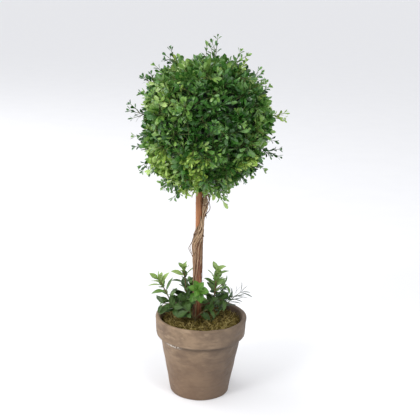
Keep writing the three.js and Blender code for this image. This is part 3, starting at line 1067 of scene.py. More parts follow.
@dataclass
class VineBundle:
    """Strands of dried vine wound round the stick, each of a few thin threads."""

    stick: PeeledStick
    strands: int = 6
    short_strands: tuple[int, ...] = (1, 4)
    pale_strands: tuple[int, ...] = (2, 3)
    short_foot: float = 0.165
    tops: tuple[float, ...] = (0.284, 0.300, 0.354, 0.354, 0.354, 0.354)
    end_spread: float = 0.012
    turn: float = 0.460
    front_level: float = 0.268
    crossing: float = math.radians(42)
    crossing_height: float = 0.014
    spacing: float = math.radians(28)
    clearance: float = 0.0003
    sway: float = math.radians(9)
    sway_length: float = 0.076
    threads: int = 3
    thread_radius: float = 0.00088
    loose: tuple[Pair, ...] = ((0.246, 0.0034), (0.322, 0.0055))
    loose_height: float = 0.018
    looseness: float = 0.0014
    taper: Pair = (1.1, 0.9)
    drift: float = 0.55
    ripple: float = 0.3
    knots: float = 0.25
    # The pitch and the layer of the noise for drift, ripple, lift and knots.
    noises: tuple[tuple[int, int], ...] = ((45, 0), (130, 5), (60, 3), (160, 7))
    relief: float = 0.0003
    grain: Triple = (0.0012, 0.0012, 0.006)
    stations: int = 110
    sides: int = 7
    # Cut ends of side shoots: height, place round the stick in degrees, length and radius.
    stubs: tuple[tuple[float, float, float, float], ...] = (
        (0.2965, -14, 0.008, 0.0017), (0.2665, -142, 0.0052, 0.0022), (0.264, -28, 0.005, 0.0016),
        (0.218, -42, 0.0036, 0.0014), (0.242, 172, 0.0048, 0.0013), (0.318, 60, 0.0046, 0.0013),
        (0.185, 120, 0.0042, 0.0013),
    )
    stub_sunk: float = 0.001
    stub_bow: float = 0.0006
    tendril_level: float = 0.336
    # Tendrils: the step from the last one's start, the drop and the width of the first loop.
    tendrils: tuple[tuple[Triple, float, float], ...] = (
        ((0.0085, -0.003, 0), 0.022, 0.0085), ((0.001, 0.002, -0.012), 0.028, 0.0045),
    )
    tendril_radius: float = 0.0006
    tendril_turns: float = 2.3
    tendril_points: int = 36
    tendril_sides: int = 5
    draw: Draw = field(default_factory=lambda: Draw(11))

    def line(self, strand: float, level: float, out: float) -> Vector:
        """A place on a strand's line.

        Args:
            strand: its number in the bundle, which may lie between two strands.
            level: the height.
            out: how far the line stands off the stick's surface.

        Returns:
            The place.
        """
        climb = level - self.front_level
        phase = (strand - (self.strands - 1) / 2) * self.spacing - math.pi / 2
        sway = self.sway * math.sin(math.tau * climb / self.sway_length)
        crossing = self.crossing * math.tanh(climb / self.crossing_height)
        angle = phase + math.tau * climb / self.turn + crossing + sway
        orbit = self.stick.root_radius + self.clearance + out
        x, y = orbit * math.cos(angle), orbit * math.sin(angle)
        return self.stick.axis(level) + Vector((x, y, 0))

    def limb(self, thread: Thread) -> Limb:
        """A thread that wanders along its strand's line.

        Args:
            thread: its line, ends, size and slack.

        Returns:
            Its limb.
        """
        phase = self.draw.between(0, 50)
        path, radii = [], []
        for share in shares(self.stations):
            level = mixed(thread.foot, thread.top, share)
            drift, ripple, lift, knot = (
                noise.noise(Vector((level * pitch, phase, layer))) for pitch, layer in self.noises
            )
            slack = sum(rise * hump(level, at, self.loose_height) for at, rise in self.loose)
            radius = thread.size * self.thread_radius * mixed(*self.taper, share)
            radius *= 1 + self.knots * knot
            out = radius + thread.slack * (0.5 + 0.5 * lift) * (self.looseness + slack)
            wander = self.drift * drift + self.ripple * ripple
            path.append(self.line(thread.side + wander, level, out))
            radii.append(radius)
        return Limb(path, radii, self.sides)

    def tendril(self, start: Vector, drop: float, loop: float) -> Limb:
        """A thin tendril that hangs from the bundle in loops.

        Args:
            start: where it leaves the bundle.
            drop: how far it hangs down.
            loop: the width of its first loop.

        Returns:
            Its limb.
        """
        path, radii = [], []
        for share in shares(self.tendril_points):
            turn = math.tau * self.tendril_turns * share
            back, up = 0.6 * math.cos(turn * 0.8) - 0.6, 0.9 * math.cos(turn) - 0.9
            swing = Vector((math.sin(turn), back, up))
            width = loop * (1 - 0.75 * share)
            path.append(start + swing * width + Vector((0.4 * loop * share, 0, -drop * share)))
            radii.append(self.tendril_radius * mixed(1, 0.6, share))
        return Limb(path, radii, self.tendril_sides)

    def stub(self, level: float, angle: float, length: float, radius: float) -> Limb:
        """The cut end of a side shoot.

        Args:
            level: its height.
            angle: its place round the stick, in degrees.
            length: how far it stands off the stick.
            radius: its radius.

        Returns:
            Its limb.
        """
        turn = math.radians(angle)
        out = Vector((math.cos(turn), math.sin(turn), 0))
        foot = self.stick.axis(level) + out * (self.stick.tip_radius - self.stub_sunk)
        tip = foot + out * length + UP * length * 0.5
        middle = foot.lerp(tip, 0.6) + out * self.stub_bow
        return Limb([foot, middle, tip], [radius, radius, radius * 0.8], self.sides)

    def ends(self) -> list[Limb]:
        """The cut ends and the tendrils.

        Returns:
            Their limbs.
        """
        made = [self.stub(*stub) for stub in self.stubs]
        start = self.stick.axis(self.tendril_level)
        for step, drop, loop in self.tendrils:
            start = start + Vector(step)
            made.append(self.tendril(start, drop, loop))
        return made

    def build_strand(self, strand: int) -> None:
        """Models and dresses one strand.

        Args:
            strand: its number.
        """
        limbs = []
        for _ in range(self.threads):
            foot = self.stick.foot.z
            if strand in self.short_strands:
                foot = self.short_foot + self.draw.between(0, self.end_spread)
            top = self.tops[strand] - self.draw.between(0, self.end_spread)
            side, size = strand + self.draw.spread(0.8), self.draw.between(0.65, 1.2)
            limbs.append(self.limb(Thread(side, foot, top, size)))
        bm = swept(limbs)
        roughened(bm, self.relief, self.grain, 20 + strand)
        flattened(bm, self.stick.foot.z)
        tint = StemTint.VINE_PALE if strand in self.pale_strands else StemTint.VINE
        made = piece(f"vine_strand_{strand + 1}", bm, tint.value, "vine_bark")
        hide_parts(f"vine_{strand + 1}")

    def build(self) -> None:
        """Models and dresses the strands, the threads beside them and the ends."""
        for strand in range(self.strands):
            self.build_strand(strand)
        for tint, threads in STRAYS.items():
            limbs = [self.limb(Thread(*thread)) for thread in threads]
            if tint is StemTint.VINE_DARK:
                limbs += self.ends()
            piece(tint.value.name + "_strays", swept(limbs), tint.value, "vine_bark")


@dataclass(frozen=True)
class Blade:
    """A leaf's blade: its outline from foot to tip, its fold along the rib and its droop."""

    width: float
    outline: tuple[Pair, ...]
    fold: float
    bow: float
    twist: float = 0.0
    columns: int = 2
    wave: float = 0.0

    def shape(self) -> Shape:
        """Models the blade.

        Returns:
            A leaf of length 1 along +X, with its upper face towards +Z.
        """
        bm = bmesh.new()
        steps = len(self.outline) - 1
        bmesh.ops.create_grid(bm, x_segments=steps, y_segments=self.columns, size=0.5)
        layer = bm.loops.layers.uv.new(UV_NAME)
        for face in bm.faces:
            for loop in face.loops:
                loop[layer].uv = (loop.vert.co.y + 0.5, loop.vert.co.x + 0.5)
        for vert in bm.verts:
            along, half = self.outline[round((vert.co.x + 0.5) * steps)]
            side = 2 * vert.co.y
            across = side * half * self.width
            lift = self.fold * abs(across) - self.bow * along**2 + self.twist * across * along
            lift += self.wave * half * side**2 * math.sin(9 * along + side)
            vert.co = (along - self.bow * 0.4 * along**3, across, lift)
        bmesh.ops.remove_doubles(bm, verts=bm.verts, dist=100 * SAME_PLACE)
        return Shape.of(bm)


# Outlines of blades: places along the leaf and half widths there.
SPOON = ((0.0, 0.06), (0.22, 0.1), (0.45, 0.33), (0.68, 0.5), (0.88, 0.38), (1.0, 0.0))
OVAL = (
    (0.0, 0.05), (0.1, 0.08), (0.22, 0.27), (0.38, 0.45), (0.55, 0.5), (0.72, 0.4), (0.88, 0.19),
    (1.0, 0.0),
)
LANCE = ((0.0, 0.1), (0.15, 0.34), (0.4, 0.5), (0.68, 0.46), (0.88, 0.26), (1.0, 0.0))
BOX_BLADES = (
    Blade(0.38, SPOON, 0.35, 0.1),
    Blade(0.41, SPOON, 0.5, 0.2, 0.3),
    Blade(0.35, SPOON, 0.2, -0.12, -0.3),
)
BROAD_BLADES = (
    Blade(0.45, OVAL, 0.3, 0.16, 0.0, 4, 0.015),
    Blade(0.41, OVAL, 0.42, 0.3, 0.25, 4, 0.02),
    Blade(0.5, OVAL, 0.22, 0.05, -0.25, 4, 0.02),
)
ROSETTE_BLADES = (
    Blade(0.62, OVAL, 0.3, 0.2, 0.0, 4, 0.015),
    Blade(0.56, OVAL, 0.36, 0.3, 0.25, 4, 0.02),
)
SMALL_BLADES = (Blade(0.5, OVAL, 0.3, 0.16), Blade(0.46, OVAL, 0.42, 0.3, 0.25))
NARROW_BLADES = (Blade(0.15, LANCE, 0.25, -0.16), Blade(0.13, LANCE, 0.3, 0.2, 0.4))


@dataclass(frozen=True)
class Habit:
    """How a stem grows its pairs of leaves, by the rule of the solids.

    The turn from pair to pair, the opening from the stem and the first turn are in degrees, and the
    variation about them is in radians.
    """

    length: float
    pairs: int
    first: float
    last: float
    taper: float
    roll: float
    spread: float
    roll_spread: float = 0.4
    open_spread: float = 0.25
    open_first: float = 1.1
    open_last: float = 0.85
    tumble: float = 0.3
    start: float = 0.0
    sizes: Pair = (0.85, 1.12)


def bud(length: float, opening: float) -> Habit:
    """Two young leaves at a tip: their length, and how far they open in degrees."""
    return Habit(length, 1, 1, 1, 1, 0, opening)


@dataclass
class Stem:
    """A stem that bends once between its foot and its tip."""

    foot: Vector
    bend: Vector
    tip: Vector

    def point(self, share: float) -> Vector:
        """The place at a share of the way up."""
        return self.foot.lerp(self.bend, share).lerp(self.bend.lerp(self.tip, share), share)

    def along(self, share: float) -> Vector:
        """The direction at a share of the way up."""
        return (self.bend - self.foot).lerp(self.tip - self.bend, share).normalized()

    def leaf_poses(self, habit: Habit, first: float, draw: Draw) -> Iterator[tuple[Matrix, float]]:
        """Where the leaves go.

        Args:
            habit: how the stem grows.
            first: the turn of the first pair round the stem, in radians.
            draw: where the variation comes from.

        Yields:
            Each leaf's pose, and its place in the row from the first pair at 0 to the last at 1.
        """
        for pair in range(habit.pairs):
            rise = pair / max(1, habit.pairs - 1)
            share = mixed(habit.first, habit.last, rise)
            size = habit.length * mixed(1, habit.taper, rise)
            opening = mixed(habit.open_first, habit.open_last, rise)
            along = self.along(share)
            across = UP if abs(along.dot(FRONT)) > NEAR_FRONT else FRONT
            side = along.cross(across).normalized()
            other = along.cross(side)
            for half in (0, math.pi):
                roll = first + math.radians(habit.start) + pair * math.radians(habit.roll) + half
                roll += draw.spread(habit.roll_spread)
                opened = math.radians(habit.spread) * opening + draw.spread(habit.open_spread)
                out = side * math.cos(roll) + other * math.sin(roll)
                length = along * math.cos(opened) + out * math.sin(opened)
                face = along * math.sin(opened) - out * math.cos(opened)
                turn = basis(length, face.cross(length), face)
                turn = turn @ Matrix.Rotation(draw.spread(2 * habit.tumble), 4, "X")
                scale = Matrix.Scale(size * draw.between(*habit.sizes), 4)
                yield Matrix.Translation(self.point(share)) @ turn @ scale, rise


def even_directions(count: int) -> Iterator[Vector]:
    """Directions spread evenly over a ball.

    Args:
        count: how many.

    Yields:
        Unit vectors from the top down.
    """
    for i in range(count):
        height = 1 - 2 * (i + 0.5) / count
        level, turn = math.sqrt(1 - height**2), i * GOLDEN_ANGLE
        yield Vector((level * math.cos(turn), level * math.sin(turn), height))


def in_outline(angle: float) -> Vector:
    """The direction at an angle, in degrees from the right, as seen from the front."""
    turn = math.radians(angle)
    return Vector((math.cos(turn), 0, math.sin(turn)))


class PatchTints(Enum):
    """How often each green is dealt out in a patch of the ball."""

    LIME = {BoxTint.LIME: 0.5, BoxTint.PALE: 0.3, BoxTint.FRESH: 0.2}
    PALE = {BoxTint.PALE: 0.24, BoxTint.FRESH: 0.38, BoxTint.GREEN: 0.32, BoxTint.LIME: 0.06}
    PLAIN = {BoxTint.DEEP: 0.35, BoxTint.GREEN: 0.45, BoxTint.FRESH: 0.2}
    SHADE = {BoxTint.SHADE: 0.46, BoxTint.DEEP: 0.4, BoxTint.GREEN: 0.14}
    TIP = {BoxTint.SHADE: 0.3, BoxTint.DEEP: 0.4, BoxTint.GREEN: 0.3}
    INNER = {BoxTint.SHADE: 0.7, BoxTint.DEEP: 0.3}


@dataclass(frozen=True)
class Patch:
    """A side of the ball whose sprays have greens of their own."""

    towards: Triple
    spread: float
    tints: PatchTints


@dataclass(frozen=True)
class Tassel:
    """A tuft of young shoots: its side of the ball, its shoots, how far they spread and reach."""

    towards: Triple
    count: int
    spread: float
    reach: float = 0.104


@dataclass(frozen=True)
class Swell:
    """A swell or hollow of the ball: its angle on the outline, its rise and how far it spreads."""

    angle: float
    rise: float
    spread: float

    def at(self, direction: Vector) -> float:
        """How much it adds to the ball in a direction, the less the more this leaves the outline.

        Args:
            direction: the direction from the middle.

        Returns:
            The rise there.
        """
        flat = Vector((direction.x, 0, direction.z))
        near = flat.normalized().dot(in_outline(self.angle)) - 1
        return self.rise * flat.length_squared * math.exp(near / self.spread)


@dataclass
class BoxCrown:
    """The clipped ball: twigs, side shoots and their leaves round a core that is dark as painted
    shade.
    """

    stick: PeeledStick
    centre: Vector = Vector((0, 0, 0.447))
    reach: float = 0.138
    core_radius: float = 0.085
    tangle_radius: float = 0.072
    tangle_relief: float = 0.006
    tangle_lumps: Triple = (0.012, 0.012, 0.012)
    twig_count: int = 82
    twig_radius: float = 0.0013
    twig_sunk: float = 0.007
    twig_lean: float = 0.12
    twig_tip: float = 0.102
    tip_spread: float = 0.006
    twig_hang: float = 0.008
    twig_seed: int = 37
    swells: tuple[Swell, ...] = (
        Swell(210, 0.009, 0.02), Swell(248, 0.009, 0.015), Swell(82, -0.008, 0.04),
        Swell(38, -0.008, 0.012), Swell(178, -0.008, 0.03), Swell(306, -0.007, 0.012),
        Swell(342, -0.007, 0.02),
    )
    shoot_count: int = 800
    shoot_radius: float = 0.0008
    shoot_drift: float = 0.16
    shoot_tip: float = 0.0900
    shoot_spread: float = 0.011
    shoot_lump: float = 0.005
    lump_pitch: float = 2.6
    pole_rise: float = 0.005
    stray_share: float = 0.2
    stray_rise: Pair = (0.005, 0.013)
    fringe: float = 0.014
    fringe_slopes: Pair = (0.6, 0.9)
    shoot_lean: Pair = (0.05, 0.34)
    shoot_foot: Pair = (0.0, 0.4)
    shoot_bend: float = 0.45
    shoot_sizes: Pair = (0.85, 1.25)
    young_pairs: Pair = (0.4, 2)
    shoot_habit: Habit = Habit(0.0162, 4, 0.35, 0.95, 0.85, 84, 50, 0.6, 0.5, tumble=0.8)
    young_habit: Habit = replace(shoot_habit, length=0.0112, pairs=8, roll_spread=1.2)
    inner_leaves: int = 900
    inner_drift: float = 0.06
    inner_tilt: float = 1.4
    inner_reach: Pair = (0.072, 0.084)
    inner_lengths: Pair = (0.013, 0.017)
    leader_rise: float = 0.004
    leader_bend: float = 0.008
    leader_radius: float = 0.0009
    leader_habit: Habit = Habit(0.0128, 4, 0.4, 0.94, 0.8, 84, 38, tumble=0.6)
    # Twigs that stand out of the outline: their angles on it, and how far they reach.
    outline_leaders: tuple[Pair, ...] = (
        (84, 0.135), (66, 0.124), (44, 0.117), (9, 0.126), (-23, 0.129), (-122, 0.126),
        (-145, 0.127), (172, 0.123), (145, 0.123), (117, 0.128),
    )
    slender_leaders: tuple[Pair, ...] = (
        (91, 0.122), (59, 0.116), (32, 0.115), (-13, 0.114), (-37, 0.120), (-48, 0.112),
        (-79, 0.114), (-112, 0.121), (-136, 0.122), (-160, 0.121), (-168, 0.117), (157, 0.113),
        (133, 0.123),
    )
    slender_around: int = 22
    slender_reach: float = 0.116
    slender_spread: float = 0.008
    slender_drift: float = 0.2
    slender_radius: float = 0.0007
    slender_habit: Habit = Habit(0.0118, 3, 0.5, 0.94, 0.85, 84, 34, tumble=0.6)
    side_leaders: int = 6
    side_reach: float = 0.121
    side_depth: float = 0.5
    fork_shares: Pair = (0.45, 0.62)
    fork_lengths: Pair = (0.014, 0.022)
    fork_room: float = 0.008
    fork_habit: Habit = Habit(0.011, 2, 0.5, 0.95, 0.85, 90, 40, tumble=0.6)
    bud_length: float = 0.72
    bud_opening: float = 24
    tassels: tuple[Tassel, ...] = (
        Tassel((-0.21, -0.89, -0.40), 4, 0.04),
        Tassel((-0.13, -0.79, -0.60), 7, 0.05),
        Tassel((-0.08, -0.66, -0.75), 5, 0.05),
        Tassel((-0.74, -0.44, -0.51), 7, 0.06),
        Tassel((-0.60, -0.46, -0.66), 7, 0.06),
        Tassel((0.69, -0.54, -0.48), 6, 0.05),
        Tassel((0.25, 0.90, 0.36), 6, 0.05),
        Tassel((-0.40, 0.80, -0.45), 6, 0.05),
    )
    # The SHADE patches at the front middle are partly painted shade, and the large PALE patches on
    # the left are partly painted light.
    patches: tuple[Patch, ...] = (
        Patch((-0.33, -0.88, -0.35), 0.18, PatchTints.PLAIN),
        Patch((-0.20, -0.30, -0.93), 0.17, PatchTints.LIME),
        Patch((-0.75, -0.26, -0.62), 0.38, PatchTints.PALE),
        Patch((0.76, -0.62, -0.19), 0.14, PatchTints.PALE),
        Patch((0.99, 0.00, 0.15), 0.14, PatchTints.LIME),
        Patch((0.40, -0.05, 0.92), 0.17, PatchTints.LIME),
        Patch((0.10, 0.00, 1.00), 0.14, PatchTints.PALE),
        Patch((-0.82, 0.00, -0.57), 0.14, PatchTints.LIME),
        Patch((-0.70, -0.50, 0.40), 0.24, PatchTints.PALE),
        Patch((-0.33, -0.89, 0.32), 0.13, PatchTints.PALE),
        Patch((0.37, -0.82, 0.43), 0.48, PatchTints.SHADE),
        Patch((0.54, -0.60, 0.55), 0.26, PatchTints.SHADE),
        Patch((0.02, -1.0, 0.08), 0.30, PatchTints.SHADE),
        Patch((0.30, 0.85, 0.40), 0.22, PatchTints.LIME),
        Patch((-0.45, 0.80, -0.38), 0.30, PatchTints.PALE),
        Patch((-0.20, 0.95, 0.25), 0.40, PatchTints.SHADE),
    )
    patch_edge: Pair = (0.75, 1.35)
    painted_light_middle: float = 0.65
    painted_light_side: float = 0.25
    # How often each green is dealt out elsewhere, on the right, where darker greens are painted
    # shade, and on the left, where lighter greens are painted light.
    general_tints: dict[BoxTint, Pair] = field(
        default_factory=lambda: {
            BoxTint.SHADE: (0.34, 0.1),
            BoxTint.DEEP: (0.42, 0.26),
            BoxTint.GREEN: (0.3, 0.3),
            BoxTint.FRESH: (0.1, 0.24),
            BoxTint.PALE: (0.02, 0.1),
        }
    )
    draw: Draw = field(default_factory=lambda: Draw(3))

    def __post_init__(self) -> None:
        """Makes the shapes and the piles that leaves and twigs go to."""
        self.blades = [blade.shape() for blade in BOX_BLADES]
        rod = bmesh.new()
        laid = Matrix.Rotation(math.pi / 2, 4, "Y") @ Matrix.Translation((0, 0, 0.5))
        bmesh.ops.create_cone(
            rod, cap_ends=True, segments=5, radius1=1.0, radius2=0.6, depth=1.0, matrix=laid
        )
        self.rod = Shape.of(rod)
        self.leaves = {tint: Scatter(tint.value.name + "_leaves") for tint in BoxTint}
        self.twigs = Scatter("box_twigs")

    def clear_of_stick(self, place: Vector) -> bool:
        """Whether a place keeps off the stick and its vine under the ball."""
        return (place - self.stick.axis(place.z)).xy.length > STICK_ROOM or place.z > self.centre.z

    def swell(self, direction: Vector) -> float:
        """How much the ball's swells and hollows add in a direction."""
        return sum(swell.at(direction) for swell in self.swells)

    def root(self, direction: Vector) -> Vector:
        """Where a twig in a direction leaves the core."""
        return self.centre + direction * (self.core_radius - self.twig_sunk)

    def main_twigs(self) -> list[Stem]:
        """The ordinary twigs, which the solids have too.

        Returns:
            Their lines.
        """
        draw = Draw(self.twig_seed)
        made = []
        for direction in even_directions(self.twig_count):
            lean = draw.vector(1) * 2 * self.twig_lean
            hang = self.twig_hang * max(0, -direction.z) + self.swell(direction)
            tip = self.twig_tip + hang + draw.spread(2 * self.tip_spread)
            root, end = self.root(direction), self.centre + (direction + lean).normalized() * tip
            made.append(Stem(root, root.lerp(end, 0.5), end))
        return made

    def leader(self, direction: Vector, reach: float) -> Stem:
        """A slightly bent twig that stands out of the ball, with leaves that reach so far."""
        root, end = self.root(direction), self.centre + direction * (reach - self.leader_rise)
        return Stem(root, root.lerp(end, 0.5) + self.draw.vector(self.leader_bend), end)

    def leaders(self) -> list[Stem]:
        """The longer twigs, which the solids have too.

        Returns:
            Their lines.
        """
        made = [self.leader(in_outline(angle), reach) for angle, reach in self.outline_leaders]
        for x, y, z in even_directions(self.side_leaders):
            depth = math.copysign(max(abs(y), self.side_depth), y)
            made.append(self.leader(Vector((z, depth, x)).normalized(), self.side_reach))
        return made

    def slender(self) -> list[Stem]:
        """Thinner twigs that stand out less far, on the outline and all round.

        Returns:
            Their lines.
        """
        made = [self.leader(in_outline(angle), reach) for angle, reach in self.slender_leaders]
        for direction in even_directions(self.slender_around):
            reach = self.slender_reach - self.draw.between(0, self.slender_spread)
            if abs(direction.y) > self.side_depth:
                towards = (direction + self.draw.vector(self.slender_drift)).normalized()
                made.append(self.leader(towards, reach))
        return [stem for stem in made if self.clear_of_stick(stem.tip)]

    def tint(self, direction: Vector) -> BoxTint:
        """The green of a spray, by the side of the ball that it grows on.

        Args:
            direction: where the spray points.

        Returns:
            Its tint.
        """
        for patch in self.patches:
            away = (direction - Vector(patch.towards).normalized()).length
            if away < patch.spread * self.draw.between(*self.patch_edge):
                return self.draw.pick(patch.tints.value)
        # Elsewhere the right side takes darker greens as painted shade and the left side lighter
        # greens as painted light.
        light = self.painted_light_middle - self.painted_light_side * direction.x
        weights = {tint: mixed(*ends, light) for tint, ends in self.general_tints.items()}
        return self.draw.pick(weights)

    def tip_tint(self, stem: Stem) -> BoxTint:
        """The green of a longer twig: lime on lime sides of the ball, and mostly dark elsewhere."""
        tint = self.tint((stem.tip - self.centre).normalized())
        return tint if tint is BoxTint.LIME else self.draw.pick(PatchTints.TIP.value)

    def lighter(self, tint: BoxTint) -> BoxTint:
        """The next lighter green, for the youngest leaves."""
        order = list(BoxTint)
        return order[min(order.index(tint) + 1, len(order) - 1)]

    def add_leaf(self, pose: Matrix, tint: BoxTint) -> None:
        """Adds a leaf unless it leaves the ball's space or touches the stick.

        Args:
            pose: where it goes.
            tint: its green.
        """
        tip, middle = pose @ Vector((1, 0, 0)), pose @ Vector((0.6, 0, 0))
        inside = (tip - self.centre).length < self.reach
        if inside and self.clear_of_stick(tip) and self.clear_of_stick(middle):
            self.leaves[tint].add(self.draw.item(self.blades), pose, self.draw.unit())

    def add_stem(self, stem: Stem, radius: float, pieces: int = 2) -> None:
        """Adds a twig as rods that follow its bend.

        Args:
            stem: its line.
            radius: its radius at the foot.
            pieces: how many rods.
        """
        for i in range(pieces):
            start, end = stem.point(i / pieces), stem.point((i + 1) / pieces)
            along, thin = end - start, radius * mixed(1, 0.5, i / pieces)
            turn = along.to_track_quat("X", "Z").to_matrix().to_4x4()
            size = Matrix.Diagonal((along.length, thin, thin, 1))
            self.twigs.add(self.rod, Matrix.Translation(start) @ turn @ size, self.draw.unit())

    def add_spray(self, stem: Stem, habit: Habit, tint: BoxTint, young: int = 1) -> None:
        """Adds a stem's leaves and the two young leaves at its tip.

        Args:
            stem: the stem.
            habit: how it grows.
            tint: the green of its leaves.
            young: how many pairs from the tip are of the next lighter green.
        """
        roll = self.draw.between(0, math.pi)
        for pose, rise in stem.leaf_poses(habit, roll, self.draw):
            fresh = rise > 1 - young / habit.pairs - SAME_PLACE
            self.add_leaf(pose, self.lighter(tint) if fresh else tint)
        roll += habit.pairs * math.radians(habit.roll)
        young_leaves = bud(habit.length * habit.taper * self.bud_length, self.bud_opening)
        for pose, _ in stem.leaf_poses(young_leaves, roll, self.draw):
            self.add_leaf(pose, self.lighter(tint))

    def grow_shoot(
        self, twigs: list[Stem], towards: Vector, reach: float, habit: Habit, tint: BoxTint
    ) -> None:
        """Grows one side shoot from the twig next to it, unless it would touch the stick.

        Args:
            twigs: what it may grow from.
            towards: the side of the ball that its tip is on.
            reach: how far its tip is from the middle.
            habit: how it grows.
            tint: the green of its leaves.
        """
        lean = towards.cross(self.draw.vector(1)).normalized()
        start = (towards + lean * self.draw.between(*self.shoot_lean)).normalized()
        twig = max(twigs, key=lambda twig: (twig.tip - self.centre).normalized().dot(start))
        root = twig.point(self.draw.between(*self.shoot_foot))
        tip = self.centre + towards * reach
        if self.clear_of_stick(tip):
            stem = Stem(root, root + (twig.tip - twig.foot) * self.shoot_bend, tip)
            self.add_stem(stem, self.shoot_radius)
            spray = replace(habit, length=habit.length * self.draw.between(*self.shoot_sizes))
            self.add_spray(stem, spray, tint, int(self.draw.between(*self.young_pairs)))

    def grow_shoots(self, twigs: list[Stem]) -> None:
        """Grows side shoots all over the ball, and the tassels.

        Args:
            twigs: what they grow from.
        """
        for direction in even_directions(self.shoot_count):
            towards = (direction + self.draw.vector(self.shoot_drift)).normalized()
            lump = noise.noise(towards * self.lump_pitch + Vector((4, 1, 7)))
            reach = self.shoot_tip + self.shoot_lump * lump + self.draw.spread(self.shoot_spread)
            reach += self.pole_rise * abs(towards.z) + self.swell(towards)
            if self.draw.unit() < self.stray_share:
                reach += self.draw.between(*self.stray_rise)
            reach += self.fringe * self.draw.unit() * smooth_step(-towards.z, *self.fringe_slopes)
            tint = self.tint(towards)
            habit = self.young_habit if tint is BoxTint.LIME else self.shoot_habit
            self.grow_shoot(twigs, towards, reach, habit, tint)
        for tassel in self.tassels:
            for _ in range(tassel.count):
                side = Vector(tassel.towards) + self.draw.vector(2 * tassel.spread)
                reach = tassel.reach + self.draw.spread(self.shoot_spread)
                self.grow_shoot(twigs, side.normalized(), reach, self.young_habit, BoxTint.LIME)

    def grow_fork(self, stem: Stem, share: float, tint: BoxTint) -> None:
        """Grows a side shoot on a longer twig, unless it would leave the ball's space.

        Args:
            stem: the twig.
            share: how far up it grows.
            tint: the green of its leaves.
        """
        foot, along = stem.point(share), stem.along(share)
        out = self.draw.vector(1).cross(along).normalized()
        length = self.draw.between(*self.fork_lengths)
        tip = foot + (along * 0.8 + out * 0.6) * length
        fork = Stem(foot, foot + along * length * 0.3 + out * length * 0.3, tip)
        if (tip - self.centre).length < self.reach - self.fork_room:
            self.add_stem(fork, self.slender_radius)
            self.add_spray(fork, self.fork_habit, tint)

    def grow_leaders(self) -> None:
        """Grows the longer twigs and the side shoots on them."""
        for stem in self.leaders():
            tint = self.tip_tint(stem)
            self.add_stem(stem, self.leader_radius, 4)
            self.add_spray(stem, self.leader_habit, tint)
            for share in self.fork_shares:
                self.grow_fork(stem, share, tint)
        for stem in self.slender():
            self.add_stem(stem, self.slender_radius, 3)
            self.add_spray(stem, self.slender_habit, self.tip_tint(stem))

    def grow_inner(self) -> None:
        """Grows dark leaves close to the core, so that no gap looks bare."""
        draw = self.draw
        for direction in even_directions(self.inner_leaves):
            towards = (direction + draw.vector(self.inner_drift)).normalized()
            place = Matrix.Translation(self.centre + towards * draw.between(*self.inner_reach))
            face = (towards + draw.vector(self.inner_tilt)).normalized()
            length = face.cross(draw.vector(1)).normalized()
            size = Matrix.Scale(draw.between(*self.inner_lengths), 4)
            tint = draw.pick(PatchTints.INNER.value)
            self.add_leaf(place @ basis(length, face.cross(length), face) @ size, tint)

    def build_core(self) -> None:
        """Models the tangle in the middle, near black as painted shade."""
        bm = bmesh.new()
        bmesh.ops.create_icosphere(bm, subdivisions=5, radius=self.tangle_radius)
        bmesh.ops.translate(bm, verts=bm.verts, vec=self.centre)
        roughened(bm, self.tangle_relief, self.tangle_lumps, 9)
        core = LeafFinish("box_painted_shade_core", "box_leaf", "0a1c07", "17300e", "17300e", 0.8)
        made = piece("box_painted_shade_core", bm, core, "box_leaf")
        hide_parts("crown")

    def build(self) -> None:
        """Grows the ball and makes its pieces."""
        twigs = self.main_twigs()
        for twig in twigs:
            if self.clear_of_stick(twig.tip):
                self.add_stem(twig, self.twig_radius)
        self.grow_shoots(twigs)
        self.grow_leaders()
        self.grow_inner()
        self.build_core()
        self.twigs.build(StemTint.TWIG.value, "box_leaf")
        for tint, pile in self.leaves.items():
            pile.build(tint.value, tint.value.slot)


@dataclass(frozen=True)
class Growth:
    """How a kind of low sprig grows: its tiers of leaves from the foot up, and its side shoots."""

    tiers: tuple[Habit, ...]
    side: Habit
    blades: tuple[Blade, ...]
    bark: StemTint


class SprigKind(Enum):
    """The kinds of low sprig."""

    BROAD = Growth(
        (
            Habit(0.0270, 3, 0.16, 0.42, 0.95, 80, 70, tumble=0.5),
            Habit(0.0260, 4, 0.48, 0.80, 0.95, 80, 56, tumble=0.5),
            Habit(0.0250, 3, 0.86, 1.0, 0.85, 60, 42, tumble=0.5),
        ),
        Habit(0.0230, 3, 0.35, 1.0, 0.9, 80, 60, tumble=0.4),
        BROAD_BLADES,
        StemTint.STALK,
    )
    ROSETTE = Growth(
        (
            Habit(0.0180, 2, 0.45, 0.60, 1.0, 80, 62, tumble=0.4),
            Habit(0.0240, 2, 0.80, 0.90, 1.0, 55, 96, start=45),
            Habit(0.0190, 2, 0.92, 1.0, 0.9, 75, 58, start=-10),
        ),
        Habit(0.0230, 3, 0.35, 1.0, 0.9, 80, 60, tumble=0.4),
        ROSETTE_BLADES,
        StemTint.STALK,
    )
    SMALL = Growth(
        (Habit(0.0125, 9, 0.2, 1.0, 0.85, 80, 55),),
        Habit(0.0120, 5, 0.3, 1.0, 0.85, 80, 55),
        SMALL_BLADES,
        StemTint.STALK_GREEN,
    )
    NARROW = Growth(
        (Habit(0.0250, 5, 0.56, 0.99, 0.85, 0, 46, 0.7, 0.5),),
        Habit(0.0240, 3, 0.5, 1.0, 0.9, 0, 42, 0.7, 0.5),
        NARROW_BLADES,
        StemTint.STALK_GREEN,
    )


@dataclass(frozen=True)
class SideShoot:
    """A side shoot of a low sprig: how far up it grows, its tip and its green."""

    share: float
    tip: Triple
    tint: SprigTint = SprigTint.DARK


